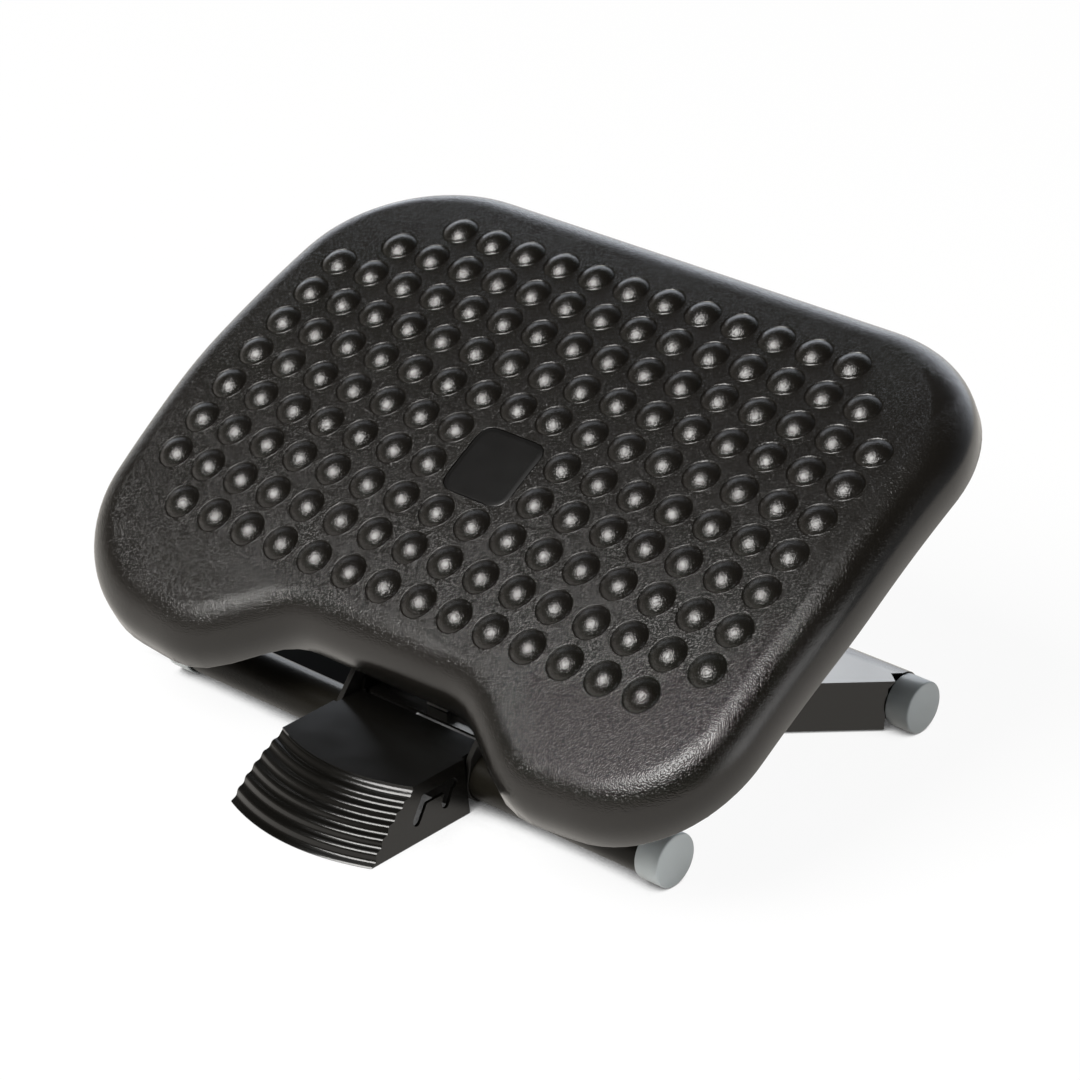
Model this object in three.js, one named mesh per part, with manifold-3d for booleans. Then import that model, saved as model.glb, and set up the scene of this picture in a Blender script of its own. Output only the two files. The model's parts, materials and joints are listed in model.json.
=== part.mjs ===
// Tilting footrest for use under a desk. Millimetres, +Z up, +X to the sitter's left-to-right, +Y away
// from the sitter. A bowed plastic platform with round massage studs turns on a shaft at the top of a
// folding lift frame. The lift frame turns on the front tube of a pressed steel base and is held up by a
// prop whose foot stands in a toothed rack. A pedal on the same tube pushes the release strap.
import * as THREE from 'three';
import Module from 'manifold-3d';
import { mergeVertices } from 'three/addons/utils/BufferGeometryUtils.js';

const wasm = await Module();
wasm.setup();

// Clearances
const seatGap = 0.3;
const runGap = 0.5;
const overrun = 3;

// Facets
const tubeSides = 24;
const pinSides = 12;
const studSides = 8;
const nutSides = 6;
const wrapSteps = 6;
const endSteps = 6;
const ringSteps = 12;
const rollSteps = 4;
const badgeSteps = 3;

// Base tubes and caps
const tubeRadius = 12.7;
const tubeWall = 1.6;
const capWall = 1.6;
const capLength = 14.4;
const capFace = 2;
const footprintHalf = 170;
const frontTubeY = -79;
const rearTubeY = 122;

// Pressed steel base
const sheet = 1.3;
const deckAboveTube = 2.4;
const deckStart = 6.5;
const channelHalf = 40.5;
const legAngle = THREE.MathUtils.degToRad(44.4);
const legCornerOut = 2.2;
const legCornerAhead = 9.3;
const reliefIn = 4.7;
const reliefAhead = 3.8;
const reliefBack = 0.4;
const wallLift = 1;
const wallEndIn = 1.4;
const wallShoulder = 3;
const wrapDrop = THREE.MathUtils.degToRad(20);

// Lift frame
const liftAngle = THREE.MathUtils.degToRad(50.4);
const liftLength = 130.1;
const liftHalfWidth = 17.5;
const liftThick = 3;
const liftInnerHalf = 43.5;
const liftNeck = 3.6;
const webStart = 32;
const webBelowPin = 8;
const liftRingFrom = THREE.MathUtils.degToRad(-80);
const liftRingTo = THREE.MathUtils.degToRad(-230);

// Tilt shaft
const shaftRadius = 4;
const nutRadius = 7.5;
const nutLength = 5;
const shaftStickOut = 2;
const washerRadius = 9;
const clampRadius = 6.5;

// Prop and rack
const pinBelowShaft = 30.1;
const propFootY = 56;
const propFootRadius = 3;
const propHalf = 27;
const propThick = 3;
const propLegHalf = 6;
const propWebStartShare = 0.3;
const propWebEndShare = 0.62;
const propWebThick = 2.5;
const propPinRadius = 3;
const pinHeadRadius = 5;
const pinHeadLength = 2.5;
const spacerRadius = 5.5;
const rackHalf = 18;
const rackWidth = 6;
const rackBase = 2.6;
const rackTooth = 1.2;
const rackLead = 12;
const rackNotches = 3;
const rackPitch = 15;
const footClear = 0.6;

// Pedal
const pedalTopZ = 29.8;
const pedalLift = 0.2;
const pedalHalfTop = 45;
const pedalHalfFoot = 48.8;
const pedalFront = 86.2;
const pedalBow = 10.5;
const pedalTopEdge = 52;
const pedalArcRadius = 84;
const pedalRibs = 6;
const pedalRibDepth = 1.5;
const pedalWall = 1.8;
const pedalSkin = 2.3;
const pedalBack = 14.8;
const pedalNeckHalf = 43;
const pedalNeckEnd = 2.7;
const earThick = 2;
const slotWidth = 5.5;
const pedalStations = 8;
const pedalRibSteps = 4;
const earRise = 22;
const earLow = 9;
const earRingFrom = THREE.MathUtils.degToRad(30);
const earRingTo = THREE.MathUtils.degToRad(-200);
const slotFoot = [-52, -3];
const slotBend = [-45, 6];
const slotEnd = [-24, 6];
const slotTooth = [-31, -2];
const slotToothTop = [-26, 6];

// Release
const rodAhead = 19;
const rodRadius = 2;
const rodAboveDeck = 3.4;
const strapHalf = 7;
const strapThick = 1.5;
const blockHalf = 5;
const strapEnd = 100;
const guideThick = 1.5;
const guideWidth = 6;
const guideFoot = 7;
const guideYs = [-40, 20];

// Platform, in its own plane
const tilt = THREE.MathUtils.degToRad(27.78);
const crestAboveShaft = 48.2;
const crestAheadShaft = 18.04;
const archRadius = 684;
const skinWall = 3.5;
const rimRadius = 19;
const rimDepth = 28;
const studPitchX = 24;
const studPitchS = 23.8;
const studRadius = 9.5;
const studHeight = 4;
const studRowsAhead = 1.7;
const badgeSide = 42.5;
const badgeThick = 1.4;
const badgeCorner = 8;
const badgeS = -23.4;
const badgeSink = 0.2;
const innerSkinShares = [0.75, 0.45];

// Outline of the platform, right half from the front: place out, place back, corner radius, arc steps
const outlineCorners = [
  [59.7, -138.4, 48.2, 4],
  [107.2, -173.4, 53.5, 4],
  [213.7, -165.5, 74, 7],
  [220.9, -23.9, 387, 2],
  [213.3, 148.8, 86.5, 8],
];

// Studs either side of the middle in each row from the rear, and the rows that leave room for the badge
const studRowHalves = [6, 7, 8, 8, 8, 8, 8, 8, 8, 7];
const badgeRows = [5, 6];
const studHighShare = 0.66;

// Cradle under the platform
const cradleHalfX = 41;
const cradleHalfS = 42;
const cradlePlate = 2.5;
const cradleEar = 2.5;
const cradleEarHalf = 14;
const cradleEarSpread = 28;
const cradleEarWrap = THREE.MathUtils.degToRad(17);
const cradleScrewX = 30;
const cradleScrewS = 32;
const screwRadius = 2;
const screwHead = 4;
const screwHeadLength = 2;
const screwReach = 6;
const bossRadius = 6;
const bossHeight = 6;

// Rubber pads under the corners: end, place out from the middle, place back from the middle
const padRadius = 9;
const padThick = 4.4;
const padPlaces = [
  ['front', 196.2, -129],
  ['rear', 178, 104],
];

// Heights and places worked out from the sizes above
const capRadius = tubeRadius + capWall;
const axisZ = capRadius;
const deckTop = axisZ + tubeRadius + deckAboveTube;
const deckUnder = deckTop - sheet;
const capInner = footprintHalf - capLength;
const ringRadius = axisZ - seatGap;
const shaftY = frontTubeY + liftLength * Math.cos(liftAngle);
const shaftZ = axisZ + liftLength * Math.sin(liftAngle);
const rackLow = deckTop + seatGap;
const rackStart = propFootY - rackLead;
const rackLength = rackLead + rackNotches * rackPitch;
const rackScrewYs = [rackStart + rackLead / 3, rackStart + rackLength - rackLead / 3];
const propFootZ = rackLow + rackBase + rackTooth + footClear + propFootRadius;
const rodY = frontTubeY + rodAhead;
const rodZ = deckTop + rodAboveDeck;
const liftOuterHalf = liftInnerHalf + liftThick;
const propPlace = liftLength - pinBelowShaft;

// Materials
const blackPlastic = new THREE.MeshStandardMaterial({ color: 0x1c1b19, roughness: 0.5, metalness: 0 });
const blackSteel = new THREE.MeshStandardMaterial({ color: 0x2a2a28, roughness: 0.35, metalness: 0.3 });
const greyCap = new THREE.MeshStandardMaterial({ color: 0x979fa0, roughness: 0.45, metalness: 0 });
const rubber = new THREE.MeshStandardMaterial({ color: 0x111111, roughness: 0.8, metalness: 0 });
const zinc = new THREE.MeshStandardMaterial({ color: 0xa8a9ac, roughness: 0.35, metalness: 0.9 });
const nylon = new THREE.MeshStandardMaterial({ color: 0xd8d6cc, roughness: 0.5, metalness: 0 });
const satinBlack = new THREE.MeshStandardMaterial({ color: 0x161616, roughness: 0.4, metalness: 0 });

// Booleans
function toSolid(geometry) {
  const bare = geometry.clone();
  bare.deleteAttribute('normal');
  bare.deleteAttribute('uv');
  const merged = mergeVertices(bare, 1e-4);
  const vertProperties = new Float32Array(merged.attributes.position.array);
  const triVerts = new Uint32Array(merged.index.array);
  return new wasm.Manifold(new wasm.Mesh({ numProp: 3, vertProperties, triVerts }));
}

function toGeometry(solid) {
  const found = solid.getMesh();
  const geometry = new THREE.BufferGeometry();
  geometry.setAttribute('position', new THREE.BufferAttribute(new Float32Array(found.vertProperties), 3));
  geometry.setIndex(new THREE.BufferAttribute(new Uint32Array(found.triVerts), 1));
  geometry.computeVertexNormals();
  return geometry;
}

function join(...geometries) {
  return geometries.map(toSolid).reduce((whole, piece) => whole.add(piece));
}

function cut(solid, ...geometries) {
  return geometries.map(toSolid).reduce((whole, piece) => whole.subtract(piece), solid);
}

// Shapes
function block(x0, x1, y0, y1, z0, z1) {
  const box = new THREE.BoxGeometry(x1 - x0, y1 - y0, z1 - z0);
  return box.translate((x0 + x1) / 2, (y0 + y1) / 2, (z0 + z1) / 2);
}

// The corner radius of a faceted hole that just clears a round bar of the given radius
function holeRadius(radius, sides) {
  return radius / Math.cos(Math.PI / sides);
}

// A closed profile of [radius, place along X] pairs turned round an axis along X
function turned(profile, sides) {
  const points = profile.map(([radius, along]) => new THREE.Vector2(radius, along));
  const lathe = new THREE.LatheGeometry(points, sides, Math.PI / sides);
  return lathe.rotateZ(-Math.PI / 2);
}

function bar(radius, x0, x1, sides) {
  return turned([[0, x0], [radius, x0], [radius, x1], [0, x1]], sides);
}

function sleeve(outer, inner, x0, x1, sides) {
  return turned([[inner, x0], [outer, x0], [outer, x1], [inner, x1], [inner, x0]], sides);
}

// A bar that stands along Z at a place on the floor plan
function upright(radius, z0, z1, x, y) {
  const points = [[0, z0], [radius, z0], [radius, z1], [0, z1]].map(([r, z]) => new THREE.Vector2(r, z));
  const lathe = new THREE.LatheGeometry(points, pinSides, Math.PI / pinSides);
  return lathe.rotateX(Math.PI / 2).translate(x, y, 0);
}

// A flat outline of [along Y, along Z] pairs made thick along X
function plateX(outline, x0, x1) {
  const shape = new THREE.Shape(outline.map(([y, z]) => new THREE.Vector2(y, z)));
  const solid = new THREE.ExtrudeGeometry(shape, { depth: x1 - x0, bevelEnabled: false });
  return solid.rotateY(Math.PI / 2).rotateX(Math.PI / 2).translate(x0, 0, 0);
}

// A flat outline of [along X, along Y] pairs made thick along Z
function plateZ(outline, z0, z1) {
  const shape = new THREE.Shape(outline.map(([x, y]) => new THREE.Vector2(x, y)));
  const solid = new THREE.ExtrudeGeometry(shape, { depth: z1 - z0, bevelEnabled: false });
  return solid.translate(0, 0, z0);
}

// Points on an arc from one angle to another, ends included
function arc(centreA, centreB, radius, from, to, steps) {
  const points = [];
  for (let i = 0; i <= steps; i += 1) {
    const angle = from + ((to - from) * i) / steps;
    points.push([centreA + radius * Math.cos(angle), centreB + radius * Math.sin(angle)]);
  }
  return points;
}

// The outline of a flat link with round ends between two places
function link([y0, z0], [y1, z1], half) {
  const lean = Math.atan2(z1 - z0, y1 - y0);
  const quarter = Math.PI / 2;
  return [
    ...arc(y1, z1, half, lean - quarter, lean + quarter, endSteps),
    ...arc(y0, z0, half, lean + quarter, lean + 3 * quarter, endSteps),
  ];
}

function mirrored(outline) {
  return outline.map(([x, y]) => [-x, y]).reverse();
}

// The same piece on both sides of the middle: the left span is the right one with its signs changed
function bothSides(make) {
  return [make('right', (from, to) => [from, to]), make('left', (from, to) => [-to, -from])];
}

const footrest = new THREE.Group();
const stand = new THREE.Group();
footrest.add(stand);

function addPiece(name, shape, material, parent) {
  const geometry = shape instanceof wasm.Manifold ? toGeometry(shape) : shape;
  const mesh = new THREE.Mesh(geometry, material);
  mesh.name = name;
  parent.add(mesh);
  return mesh;
}

// Base tubes, each with a grey cap on either end
function addTube(name, y) {
  const end = footprintHalf - capFace - seatGap;
  const tube = sleeve(tubeRadius, tubeRadius - tubeWall, -end, end, tubeSides);
  addPiece(`${name}_tube`, tube.translate(0, y, axisZ), blackSteel, stand);
  const outer = holeRadius(capRadius, tubeSides);
  const bore = holeRadius(tubeRadius + seatGap, tubeSides);
  const floor = footprintHalf - capFace;
  const profile = [[0, floor], [bore, floor], [bore, capInner], [outer, capInner], [outer, footprintHalf]];
  profile.push([0, footprintHalf]);
  for (const side of ['left', 'right']) {
    const cap = turned(profile, tubeSides);
    if (side === 'left') cap.rotateZ(Math.PI);
    addPiece(`${name}_${side}_cap`, cap.translate(0, y, axisZ), greyCap, stand);
  }
}

// Drilled places of the rack screws, on the floor plan
function rackScrewPlaces() {
  const x = rackHalf - rackWidth / 2;
  return [-x, x].flatMap((across) => rackScrewYs.map((y) => [across, y]));
}

// The pressed steel deck runs back as a channel, spreads to the rear tube's ends and wraps that tube
function addChassis() {
  const cornerX = capInner + legCornerOut;
  const cornerY = rearTubeY - legCornerAhead;
  const flareY = cornerY - (cornerX - channelHalf) * Math.tan(legAngle);
  const sideX = capInner - seatGap;
  const startY = frontTubeY + deckStart;
  const half = [
    [channelHalf, startY],
    [channelHalf, flareY],
    [cornerX, cornerY],
    [capInner - reliefIn, rearTubeY - reliefAhead],
    [sideX, rearTubeY + reliefBack],
  ];
  const top = plateZ([...half, ...mirrored(half)], deckUnder, deckTop);
  const wrapOuter = deckTop - axisZ;
  const wrapInner = wrapOuter - sheet;
  const wrapOutline = [
    ...arc(rearTubeY, axisZ, wrapOuter, -wrapDrop, Math.PI / 2, wrapSteps),
    ...arc(rearTubeY, axisZ, wrapInner, Math.PI / 2, -wrapDrop, wrapSteps),
  ];
  const wrap = plateX(wrapOutline, -sideX, sideX);
  const highZ = deckUnder + sheet / 2;
  const run = (sideX - channelHalf) / Math.cos(legAngle);
  const topRun = (cornerX - channelHalf) / Math.cos(legAngle);
  const shoulderZ = deckUnder - wallShoulder;
  const face = [[0, wallLift], [run - wallEndIn, wallLift], [run, shoulderZ], [topRun, highZ], [0, highZ]];
  const quarter = Math.PI / 2;
  const rightWall = plateX(face, -sheet, 0).rotateZ(legAngle - quarter).translate(channelHalf, flareY, 0);
  const leftWall = plateX(face, 0, sheet).rotateZ(quarter - legAngle).translate(-channelHalf, flareY, 0);
  const cheeks = bothSides((side, span) => {
    const [x0, x1] = span(channelHalf - sheet, channelHalf);
    return block(x0, x1, startY, flareY + sheet, wallLift, highZ);
  });
  const body = join(top, wrap, rightWall, leftWall, ...cheeks);
  const reach = footprintHalf + overrun;
  const tubeRoom = holeRadius(tubeRadius + seatGap, tubeSides);
  const capRoom = holeRadius(capRadius + seatGap, tubeSides);
  const drill = holeRadius(screwRadius + seatGap, pinSides);
  const cutters = [frontTubeY, rearTubeY].map((y) => (
    bar(tubeRoom, -reach, reach, tubeSides).translate(0, y, axisZ)
  ));
  for (const [x0, x1] of [[-reach, -sideX], [sideX, reach]]) {
    cutters.push(bar(capRoom, x0, x1, tubeSides).translate(0, rearTubeY, axisZ));
  }
  for (const [x, y] of rackScrewPlaces()) {
    cutters.push(upright(drill, deckUnder - overrun, deckTop + overrun, x, y));
  }
  addPiece('chassis_deck', cut(body, ...cutters), blackSteel, stand);
}

// Toothed rails either side of the strap, each held by two screws through the deck
function addRack(side, span) {
  const seat = rackLow + rackBase;
  const tip = seat + rackTooth;
  const rackEnd = rackStart + rackLength;
  const outline = [[rackStart, rackLow], [rackEnd, rackLow], [rackEnd, tip]];
  for (let i = rackNotches - 1; i >= 0; i -= 1) {
    const notch = propFootY + i * rackPitch;
    outline.push([notch + propFootRadius + rackTooth, tip], [notch + propFootRadius, seat]);
    outline.push([notch - propFootRadius, seat], [notch - propFootRadius - rackTooth, tip]);
  }
  outline.push([rackStart, tip]);
  const [x0, x1] = span(rackHalf - rackWidth, rackHalf);
  const centre = (x0 + x1) / 2;
  const drill = holeRadius(screwRadius + seatGap, pinSides);
  const drills = rackScrewYs.map((y) => upright(drill, rackLow - overrun, tip + overrun, centre, y));
  addPiece(`${side}_rack`, cut(join(plateX(outline, x0, x1)), ...drills), zinc, stand);
  rackScrewYs.forEach((y, i) => {
    const headLow = tip + seatGap / 3;
    const headTop = headLow + footClear / 2;
    const shank = upright(screwRadius, deckUnder - sheet, headTop, centre, y);
    const head = upright(rackWidth / 2, headLow, headTop, centre, y);
    addPiece(`${side}_rack_screw_${i + 1}`, join(shank, head), zinc, stand);
  });
}

// The lift frame is a channel whose two arms hang on the front tube and carry the tilt shaft
const lift = new THREE.Group();
lift.position.set(0, frontTubeY, axisZ);
lift.rotation.x = liftAngle;
stand.add(lift);

function addLiftFrame() {
  const quarter = Math.PI / 2;
  const outline = [
    [liftNeck, liftHalfWidth],
    ...arc(liftLength, 0, liftHalfWidth, quarter, -quarter, ringSteps),
    [ringRadius, -liftHalfWidth],
    ...arc(0, 0, ringRadius, liftRingFrom, liftRingTo, ringSteps),
  ];
  const arms = bothSides((side, span) => plateX(outline, ...span(liftInnerHalf, liftOuterHalf)));
  const grip = liftInnerHalf + liftThick / 2;
  const web = block(-grip, grip, webStart, propPlace - webBelowPin, liftHalfWidth - liftThick, liftHalfWidth);
  const reach = liftOuterHalf + overrun;
  const body = cut(
    join(...arms, web),
    bar(holeRadius(tubeRadius + seatGap, tubeSides), -reach, reach, tubeSides),
    bar(holeRadius(shaftRadius + seatGap, pinSides), -reach, reach, pinSides).translate(0, liftLength, 0),
    bar(holeRadius(propPinRadius + seatGap, pinSides), -reach, reach, pinSides).translate(0, propPlace, 0),
  );
  addPiece('lift_frame', body, blackSteel, lift);
}

// The tilt shaft with its nuts, friction washers and the clamp tube between the cradle's ears
function addTiltShaft() {
  const at = (geometry) => geometry.translate(0, liftLength, 0);
  const nutFrom = liftOuterHalf + seatGap;
  const shaftEnd = nutFrom + nutLength + shaftStickOut;
  const reach = shaftEnd + overrun;
  const bore = holeRadius(shaftRadius + seatGap, pinSides);
  addPiece('tilt_shaft', at(bar(shaftRadius, -shaftEnd, shaftEnd, pinSides)), zinc, lift);
  bothSides((side, span) => {
    const nutSpan = span(nutFrom, nutFrom + nutLength);
    const nut = cut(join(at(bar(nutRadius, ...nutSpan, nutSides))), at(bar(bore, -reach, reach, pinSides)));
    addPiece(`${side}_shaft_nut`, nut, zinc, lift);
    const washerSpan = span(cradleHalfX + seatGap, liftInnerHalf - seatGap);
    const washer = sleeve(washerRadius, bore, ...washerSpan, pinSides);
    return addPiece(`${side}_friction_washer`, at(washer), nylon, lift);
  });
  const clampHalf = cradleHalfX - cradleEar - seatGap;
  addPiece('clamp_tube', at(sleeve(clampRadius, bore, -clampHalf, clampHalf, pinSides)), zinc, lift);
}

// The prop's pin with a head at each end, and a spacer either side of the prop
function addPropPin() {
  const at = (geometry) => geometry.translate(0, propPlace, 0);
  const neck = liftOuterHalf + seatGap;
  const end = neck + pinHeadLength;
  const profile = [[0, -end], [pinHeadRadius, -end], [pinHeadRadius, -neck], [propPinRadius, -neck]];
  profile.push([propPinRadius, neck], [pinHeadRadius, neck], [pinHeadRadius, end], [0, end]);
  addPiece('prop_pin', at(turned(profile, pinSides)), zinc, lift);
  const bore = holeRadius(propPinRadius + seatGap, pinSides);
  bothSides((side, span) => {
    const spacerSpan = span(propHalf + seatGap, liftInnerHalf - seatGap);
    const spacer = sleeve(spacerRadius, bore, ...spacerSpan, pinSides);
    return addPiece(`${side}_prop_spacer`, at(spacer), nylon, lift);
  });
}

// The prop: two legs on the pin, joined by a plate and by the round foot that stands in the rack
function addProp() {
  const pinY = frontTubeY + propPlace * Math.cos(liftAngle);
  const pinZ = axisZ + propPlace * Math.sin(liftAngle);
  const legOutline = link([pinY, pinZ], [propFootY, propFootZ], propLegHalf);
  const legs = bothSides((side, span) => plateX(legOutline, ...span(propHalf - propThick, propHalf)));
  const along = (share) => [pinY + (propFootY - pinY) * share, pinZ + (propFootZ - pinZ) * share];
  const grip = propHalf - propThick / 2;
  const webOutline = link(along(propWebStartShare), along(propWebEndShare), propWebThick / 2);
  const web = plateX(webOutline, -grip, grip);
  const foot = bar(propFootRadius, -grip, grip, pinSides).translate(0, propFootY, propFootZ);
  const reach = propHalf + overrun;
  const bore = bar(holeRadius(propPinRadius + seatGap, pinSides), -reach, reach, pinSides);
  addPiece('prop', cut(join(...legs, web, foot), bore.translate(0, pinY, pinZ)), blackSteel, stand);
}

// Pedal, drawn from the front tube's axis
const pedal = new THREE.Group();
pedal.position.set(0, frontTubeY, axisZ);
stand.add(pedal);

const pedalTop = pedalTopZ - axisZ;
const pedalLow = pedalLift - axisZ;

// The side profile's front runs up an arc from the floor to the top's front edge, with ribs across it
function pedalFrontPoints(inset, ribDepth, steps) {
  const foot = [-pedalFront, pedalLow];
  const crown = [-pedalTopEdge, pedalTop - pedalRibDepth];
  const chordHalf = Math.hypot(crown[0] - foot[0], crown[1] - foot[1]) / 2;
  const rise = Math.atan2(crown[1] - foot[1], crown[0] - foot[0]);
  const toCentre = Math.sqrt(pedalArcRadius ** 2 - chordHalf ** 2);
  const centreY = (foot[0] + crown[0]) / 2 + toCentre * Math.sin(rise);
  const centreZ = (foot[1] + crown[1]) / 2 - toCentre * Math.cos(rise);
  const from = Math.atan2(foot[1] - centreZ, foot[0] - centreY);
  const spread = 2 * Math.asin(chordHalf / pedalArcRadius);
  const points = [];
  for (let i = 0; i <= steps; i += 1) {
    const wave = Math.sin((Math.PI * pedalRibs * i) / steps) ** 2;
    const radius = pedalArcRadius - inset - ribDepth * wave;
    const angle = from - (spread * i) / steps;
    const y = centreY + radius * Math.cos(angle);
    points.push([y, centreZ + radius * Math.sin(angle)]);
  }
  return points;
}

// Rings of points carried across the width: drawn in at the top, bowed forward in the middle
function pedalBody(inset, ribDepth, steps, backY, topDrop, lowDrop) {
  const front = pedalFrontPoints(inset, ribDepth, steps);
  front[0] = [front[0][0], pedalLow - lowDrop];
  const top = pedalTop - topDrop;
  const outline = [...front, [-pedalTopEdge + inset, top], [-backY, top], [-backY, pedalLow - lowDrop]];
  const height = pedalTop - pedalLow;
  const rings = [];
  for (let i = 0; i <= pedalStations; i += 1) {
    const side = (2 * i) / pedalStations - 1;
    const bow = pedalBow * (1 - side * side);
    rings.push(outline.map(([y, z], k) => {
      const half = pedalHalfFoot + ((pedalHalfTop - pedalHalfFoot) * (z - pedalLow)) / height - inset;
      const forward = k <= steps + 1 ? bow : 0;
      return new THREE.Vector3(side * half, y - forward, z);
    }));
  }
  return lofted(rings);
}

// A closed solid through rings that each hold as many points, with flat ends
function lofted(rings) {
  const size = rings[0].length;
  const positions = rings.flat().flatMap((point) => [point.x, point.y, point.z]);
  const index = [];
  for (let r = 0; r < rings.length - 1; r += 1) {
    for (let k = 0; k < size; k += 1) {
      const a = r * size + k;
      const b = r * size + ((k + 1) % size);
      index.push(a, a + size, b, b, a + size, b + size);
    }
  }
  const flat = (ring) => ring.map((point) => new THREE.Vector2(point.y, point.z));
  const last = (rings.length - 1) * size;
  for (const [a, b, c] of THREE.ShapeUtils.triangulateShape(flat(rings[0]), [])) index.push(a, c, b);
  for (const [a, b, c] of THREE.ShapeUtils.triangulateShape(flat(rings[rings.length - 1]), [])) {
    index.push(last + a, last + b, last + c);
  }
  const geometry = new THREE.BufferGeometry();
  geometry.setAttribute('position', new THREE.Float32BufferAttribute(positions, 3));
  geometry.setIndex(index);
  return outward(geometry);
}

// Turns every face round if the solid's faces point inward
function outward(geometry) {
  const place = geometry.attributes.position;
  const index = geometry.index.array;
  const corner = (i) => new THREE.Vector3().fromBufferAttribute(place, index[i]);
  let volume = 0;
  for (let i = 0; i < index.length; i += 3) volume += corner(i).dot(corner(i + 1).cross(corner(i + 2)));
  if (volume < 0) geometry.setIndex(Array.from(index).reverse());
  return geometry;
}

// The bent slot in each side of the pedal
function pedalSlots() {
  const half = slotWidth / 2;
  const runs = [[slotFoot, slotBend], [slotBend, slotEnd], [slotTooth, slotToothTop]];
  return runs.map(([from, to]) => link(from, to, half));
}

function addPedal() {
  const steps = pedalRibs * pedalRibSteps;
  const outer = pedalBody(0, pedalRibDepth, steps, pedalBack, 0, 0);
  const inner = pedalBody(pedalWall, 0, pedalRibs, pedalBack + pedalWall, pedalSkin, overrun);
  const neckFrom = -pedalBack - pedalWall;
  const neck = block(-pedalNeckHalf, pedalNeckHalf, neckFrom, pedalNeckEnd, pedalTop - pedalSkin, pedalTop);
  const push = rodAhead - rodRadius - seatGap;
  const earOutline = [
    [neckFrom, pedalTop],
    [pedalNeckEnd, pedalTop],
    [pedalNeckEnd + earThick, earRise],
    [push, earRise],
    [push, earLow],
    ...arc(0, 0, ringRadius, earRingFrom, earRingTo, ringSteps),
    [neckFrom, 0],
  ];
  const earInner = pedalNeckHalf - earThick;
  const ears = bothSides((side, span) => plateX(earOutline, ...span(earInner, pedalNeckHalf)));
  const body = cut(join(outer), inner);
  const reach = pedalHalfFoot + overrun;
  const slots = bothSides((side, span) => {
    const [x0, x1] = span(pedalHalfTop - 2 * pedalWall, reach);
    return pedalSlots().map((outline) => plateX(outline, x0, x1));
  });
  const tubeRoom = bar(holeRadius(tubeRadius + seatGap, tubeSides), -reach, reach, tubeSides);
  const whole = cut(body.add(join(neck, ...ears)), tubeRoom, ...slots.flat());
  addPiece('pedal', whole, blackPlastic, pedal);
}

// Release strap on the deck, pushed by the pedal's ears through a cross rod, under two guides
function addRelease() {
  const low = deckTop + seatGap;
  const strap = block(-strapHalf, strapHalf, rodY - blockHalf, strapEnd, low, low + strapThick);
  const bore = holeRadius(rodRadius + seatGap, pinSides);
  const lug = block(-strapHalf, strapHalf, rodY - blockHalf, rodY + blockHalf, low, rodZ + blockHalf);
  const eye = bar(bore, -strapHalf - overrun, strapHalf + overrun, pinSides).translate(0, rodY, rodZ);
  addPiece('release_strap', cut(join(strap, lug), eye), zinc, stand);
  const rodHalf = pedalNeckHalf - seatGap / 3;
  addPiece('release_rod', bar(rodRadius, -rodHalf, rodHalf, pinSides).translate(0, rodY, rodZ), zinc, stand);
  guideYs.forEach((y, i) => {
    const roof = low + strapThick + seatGap;
    const outerHalf = strapHalf + runGap + guideThick;
    const innerHalf = strapHalf + runGap;
    const footHalf = outerHalf + guideFoot;
    const y0 = y - guideWidth / 2;
    const y1 = y + guideWidth / 2;
    const solid = join(
      block(-footHalf, footHalf, y0, y1, low, low + guideThick),
      block(-outerHalf, outerHalf, y0, y1, low, roof + guideThick),
    );
    const tunnel = block(-innerHalf, innerHalf, y0 - overrun, y1 + overrun, low - overrun, roof);
    addPiece(`strap_guide_${i + 1}`, cut(solid, tunnel), zinc, stand);
  });
}

// Platform group at the tilt shaft, and its face group at the middle of the studs' top
const platform = new THREE.Group();
platform.position.set(0, shaftY, shaftZ);
platform.rotation.x = tilt;
stand.add(platform);
const face = new THREE.Group();
face.position.set(0, crestAheadShaft, crestAboveShaft);
platform.add(face);

// Height of the bowed top surface at a place along the platform: straight strips, one to each row of studs
function surface(s) {
  const strip = (s - studRowsAhead) / studPitchS;
  const share = strip - Math.floor(strip);
  const low = s - share * studPitchS;
  const high = low + studPitchS;
  return -studHeight - (low * low * (1 - share) + high * high * share) / (2 * archRadius);
}

// The outline's points with their outward directions, counter-clockwise from the front
function platformOutline() {
  const right = outlineCorners.map(([x, s, radius, steps]) => ({ x, s, radius, steps }));
  const left = right.map((corner) => ({ ...corner, x: -corner.x })).reverse();
  const corners = [...right, ...left];
  const points = [];
  corners.forEach((corner, i) => {
    const before = corners[(i + corners.length - 1) % corners.length];
    const after = corners[(i + 1) % corners.length];
    const here = new THREE.Vector2(corner.x, corner.s);
    const back = new THREE.Vector2(before.x, before.s).sub(here).normalize();
    const on = new THREE.Vector2(after.x, after.s).sub(here).normalize();
    const half = Math.acos(back.dot(on)) / 2;
    const middle = back.clone().add(on).normalize();
    const centre = here.clone().addScaledVector(middle, corner.radius / Math.sin(half));
    const start = here.clone().addScaledVector(back, corner.radius / Math.tan(half)).sub(centre);
    const turnLeft = back.cross(on) < 0;
    const sweep = (Math.PI - 2 * half) * (turnLeft ? 1 : -1);
    for (let k = 0; k <= corner.steps; k += 1) {
      const spoke = start.clone().rotateAround(new THREE.Vector2(), (sweep * k) / corner.steps);
      const out = spoke.clone().normalize().multiplyScalar(turnLeft ? 1 : -1);
      points.push({ x: centre.x + spoke.x, s: centre.y + spoke.y, outX: out.x, outS: out.y });
    }
  });
  return points;
}

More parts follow.
